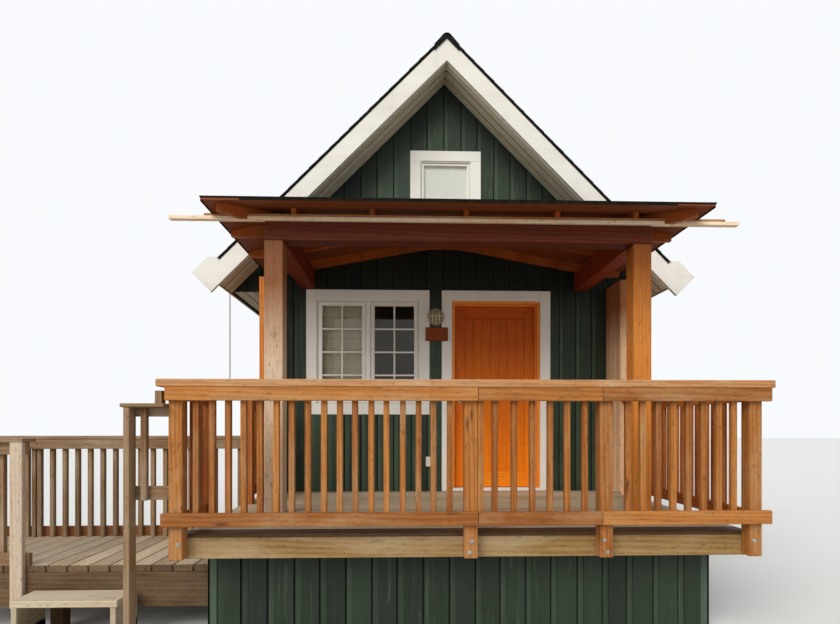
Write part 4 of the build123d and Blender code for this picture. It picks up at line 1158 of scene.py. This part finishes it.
def stair():
    """Build two treads on two upright boards at each end."""
    made, start, end = started("stair")
    depth, thickness, inset = 0.240, 0.045, 0.010
    steps = [(start.y, end.z / 2), (start.y + depth, end.z)]
    for near, top in steps:
        made.board((start.x, near, top - thickness), (end.x, near + depth, top), 0, 0.004)
    for left in (start.x + inset, end.x - inset - THICK):
        for near, top in steps:
            made.board((left, near, 0), (left + THICK, end.y, top - thickness), 1)
    made.stand_in("stair", tread_wood, "weathered_deck")


# Porch timbers
def porch_timbers():
    """Build the posts, the beams with their plates, and the plank and shim under the rafter tails."""
    dressed("porch_post_left", grey_post, "post_timber", 2, 0.006)
    dressed("porch_post_right", gold_post, "post_timber", 2, 0.006)
    dressed("porch_beam_front", front_beam_shaded_wood, "beam_timber", 0, 0.005)
    beam_top = high("porch_beam_front").z
    for node in ("porch_beam_left", "porch_beam_right"):
        made, start, end = started(node)
        made.board(start, (end.x, end.y, beam_top), 1, 0.005)
        made.board((start.x, high("eave_plank").y, beam_top), end, 1, 0.004)
        made.stand_in(node, side_beam_wood, "beam_timber", "_timber")
    start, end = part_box("eave_plank")
    plank_top = start.z + 0.030
    shim_left, shim_right = start.x + 0.278, end.x - 0.115
    one_board("eave_plank", "eave_plank_boards", start, (end.x, end.y, plank_top), 0, EDGE, bleached,
              "weathered_plank", ["eave_plank"])
    one_board("eave_shim", "eave_shim", (shim_left, start.y + 0.004, plank_top),
              (shim_right, end.y, end.z), 0, 0.002, shim_wood, "weathered_plank", ["eave_plank"])


# Small fittings
def plaque_and_socket():
    """Add the bare plaque and the socket cover beside the door."""
    plaque_left, plaque_foot, plaque_right, plaque_top = -0.2055, 2.438, 0.0415, 2.586
    one_board(51, "bare_plaque", (plaque_left, FRONT - 0.040, plaque_foot),
              (plaque_right, FRONT - 0.020, plaque_top), 0, 0.004, plaque_wood, "door_timber")
    socket_left, socket_foot, socket_right, socket_top = -0.201, 1.054, -0.131, 1.165
    one_board(52, "socket_cover", (socket_left, FRONT - 0.030, socket_foot),
              (socket_right, FRONT, socket_top), 2, 0.006, socket_plastic, "window_paint")


def light_cage():
    """Cage the round light: two rings, eight bars between them, and four bars over its glass."""
    start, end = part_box("porch_light")
    centre = (start + end) / 2
    radius = (end.x - start.x) / 2
    made = Pieces(53)
    inner, ring_front, bar_front, wire = radius * 0.88, start.y + 0.024, start.y - 0.003, 0.004
    rings = ((radius * 0.985, end.y - 0.026), (inner, ring_front))

    def point(x, y, z):
        """A point given by its depth and its places aside and up from the light's centre."""
        return Vector((centre.x + x, y, centre.z + z))

    for ring_radius, y in rings:
        made.loop(point(0, y, 0), ring_radius * X, ring_radius * Z, 28, wire, 6)
    for angle in angles(8):
        angle += math.pi / 8
        path = [point(reach * math.cos(angle), y, reach * math.sin(angle)) for reach, y in rings]
        made.rod(*path, 0.0035, 6)
    for offset, upright in ((-0.4 * radius, True), (0.0, True), (0.4 * radius, True), (0.0, False)):
        half = math.sqrt(inner ** 2 - offset ** 2)
        path = ((-half, ring_front), (-half * 0.75, bar_front), (half * 0.75, bar_front), (half, ring_front))
        points = [point(offset, y, reach) if upright else point(reach, y, offset) for reach, y in path]
        for first, second in zip(points, points[1:]):
            made.rod(first, second, wire, 6)
    made.finish("light_cage", cast_metal, "light_body")


def rain_chain():
    """Hang links one in another, each turned a quarter from the last."""
    start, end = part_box("rain_chain")
    centre = (start + end) / 2
    made = Pieces(54)
    link, wire, half = 0.034, 0.0022, 0.0075
    height, across = end.z, (Y, X)
    while height - link > start.z:
        middle = Vector((centre.x, centre.y, height - link / 2))
        made.loop(middle, half * across[0], link / 2 * Z, 10, wire, 5)
        height -= link - 4 * wire
        across = across[::-1]
    made.stand_in("rain_chain", chain_metal, "chain_metal", "_links")


# Camera, floor and light
def camera():
    """Stand the camera where the photograph was taken."""
    data = bpy.data.cameras.new("camera")
    data.sensor_width = 36
    data.lens = CAMERA_LENS
    data.shift_y = CAMERA_SHIFT
    eye = bpy.data.objects.new("camera", data)
    eye.location = CAMERA_PLACE
    eye.rotation_euler = (math.radians(90), 0, -CAMERA_YAW)
    bpy.context.scene.collection.objects.link(eye)
    bpy.context.scene.camera = eye


def studio():
    """Lay a pale floor and light the cottage softly from all round and from the front left."""
    bpy.ops.mesh.primitive_plane_add(size=120, location=(0, 0, -0.001))
    floor = bpy.context.object
    floor.name = "studio_floor"
    shader = Shader("studio_floor")
    shown = shader.mix(shader.noise(shader.place(), 0.4, 3.0), (232, 232, 230), (226, 226, 224))
    floor.data.materials.append(shader.finish(shader.mix(shader.seen(), (202, 200, 192), shown), 0.9))

    world = bpy.data.worlds.new("studio")
    bpy.context.scene.world = world
    shader = Shader(world)
    soft = shader.add("Background", {"Color": (0.93, 0.96, 1.0, 1), "Strength": 0.66}).outputs[0]
    white = shader.add("Background", {"Color": (0.94, 0.96, 0.98, 1), "Strength": 1.0}).outputs[0]
    shader.close(shader.add("MixShader", {0: shader.seen(), 1: soft, 2: white}).outputs[0], "World")

    sun = bpy.data.lights.new("soft_sun", "SUN")
    sun.energy = 2.2
    sun.angle = math.radians(40)
    sun.color = (1.0, 0.97, 0.92)
    lamp = bpy.data.objects.new("soft_sun", sun)
    lamp.rotation_euler = (math.radians(54), 0, math.radians(-30))
    bpy.context.scene.collection.objects.link(lamp)


NODE_MATERIALS = (
    (wall_body, "foundation_front skirt_left skirt_right skirt_front skirt_back front_wall_left "
                "front_wall_right front_gable left_wall right_wall back_wall roof_left roof_right"),
    (barge_paint, "barge_front_left barge_front_right barge_back_left barge_back_right"),
    (roof_metal, "gutter_left gutter_right"), (steel, "frame_hinges door_hardware"),
    (room_floor, "floor"), (jamb_wood, "door_frame"), (sheathing_wood, "porch_roof"),
    (rafter_wood, "porch_rafters"), (landing_beam, "landing_frame"), (lamp_glass, "porch_light"),
)
for node_material, node_names in NODE_MATERIALS:
    for node_name in node_names.split():
        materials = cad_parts[node_name].data.materials
        materials.clear()
        materials.append(node_material)

wall_boarding()
skirt_boarding()
corner_boards()
sill_strips()
shingles("shingles_left", -1, 61)
shingles("shingles_right", 1, 62)
porch_covering()
porch_edge()
gable_edges()
eave_fascias()
soffit_boards()
eave_boards()
window("front_window", "front", 2, 2, 4, "slats")
window("upper_window", "front", 1, 1, 1, "roller")
window("left_window", "left", 2, 2, 4)
window("right_window", "right", 2, 2, 4)
door_leaf()
door_surround()
front_railing()
for rail in ("side_rail_left", "side_rail_rear", "side_rail_right"):
    side_railing(rail)
screen("screen_left", -1, screen_cedar)
screen("screen_right", 1, screen_lit)
landing_rear_rail()
landing_front_rail()
entry_rail()
porch_deck()
deck_frame()
landing_deck()
stair()
porch_timbers()
plaque_and_socket()
light_cage()
rain_chain()
camera()
studio()
bpy.context.scene.view_settings.view_transform = "Standard"
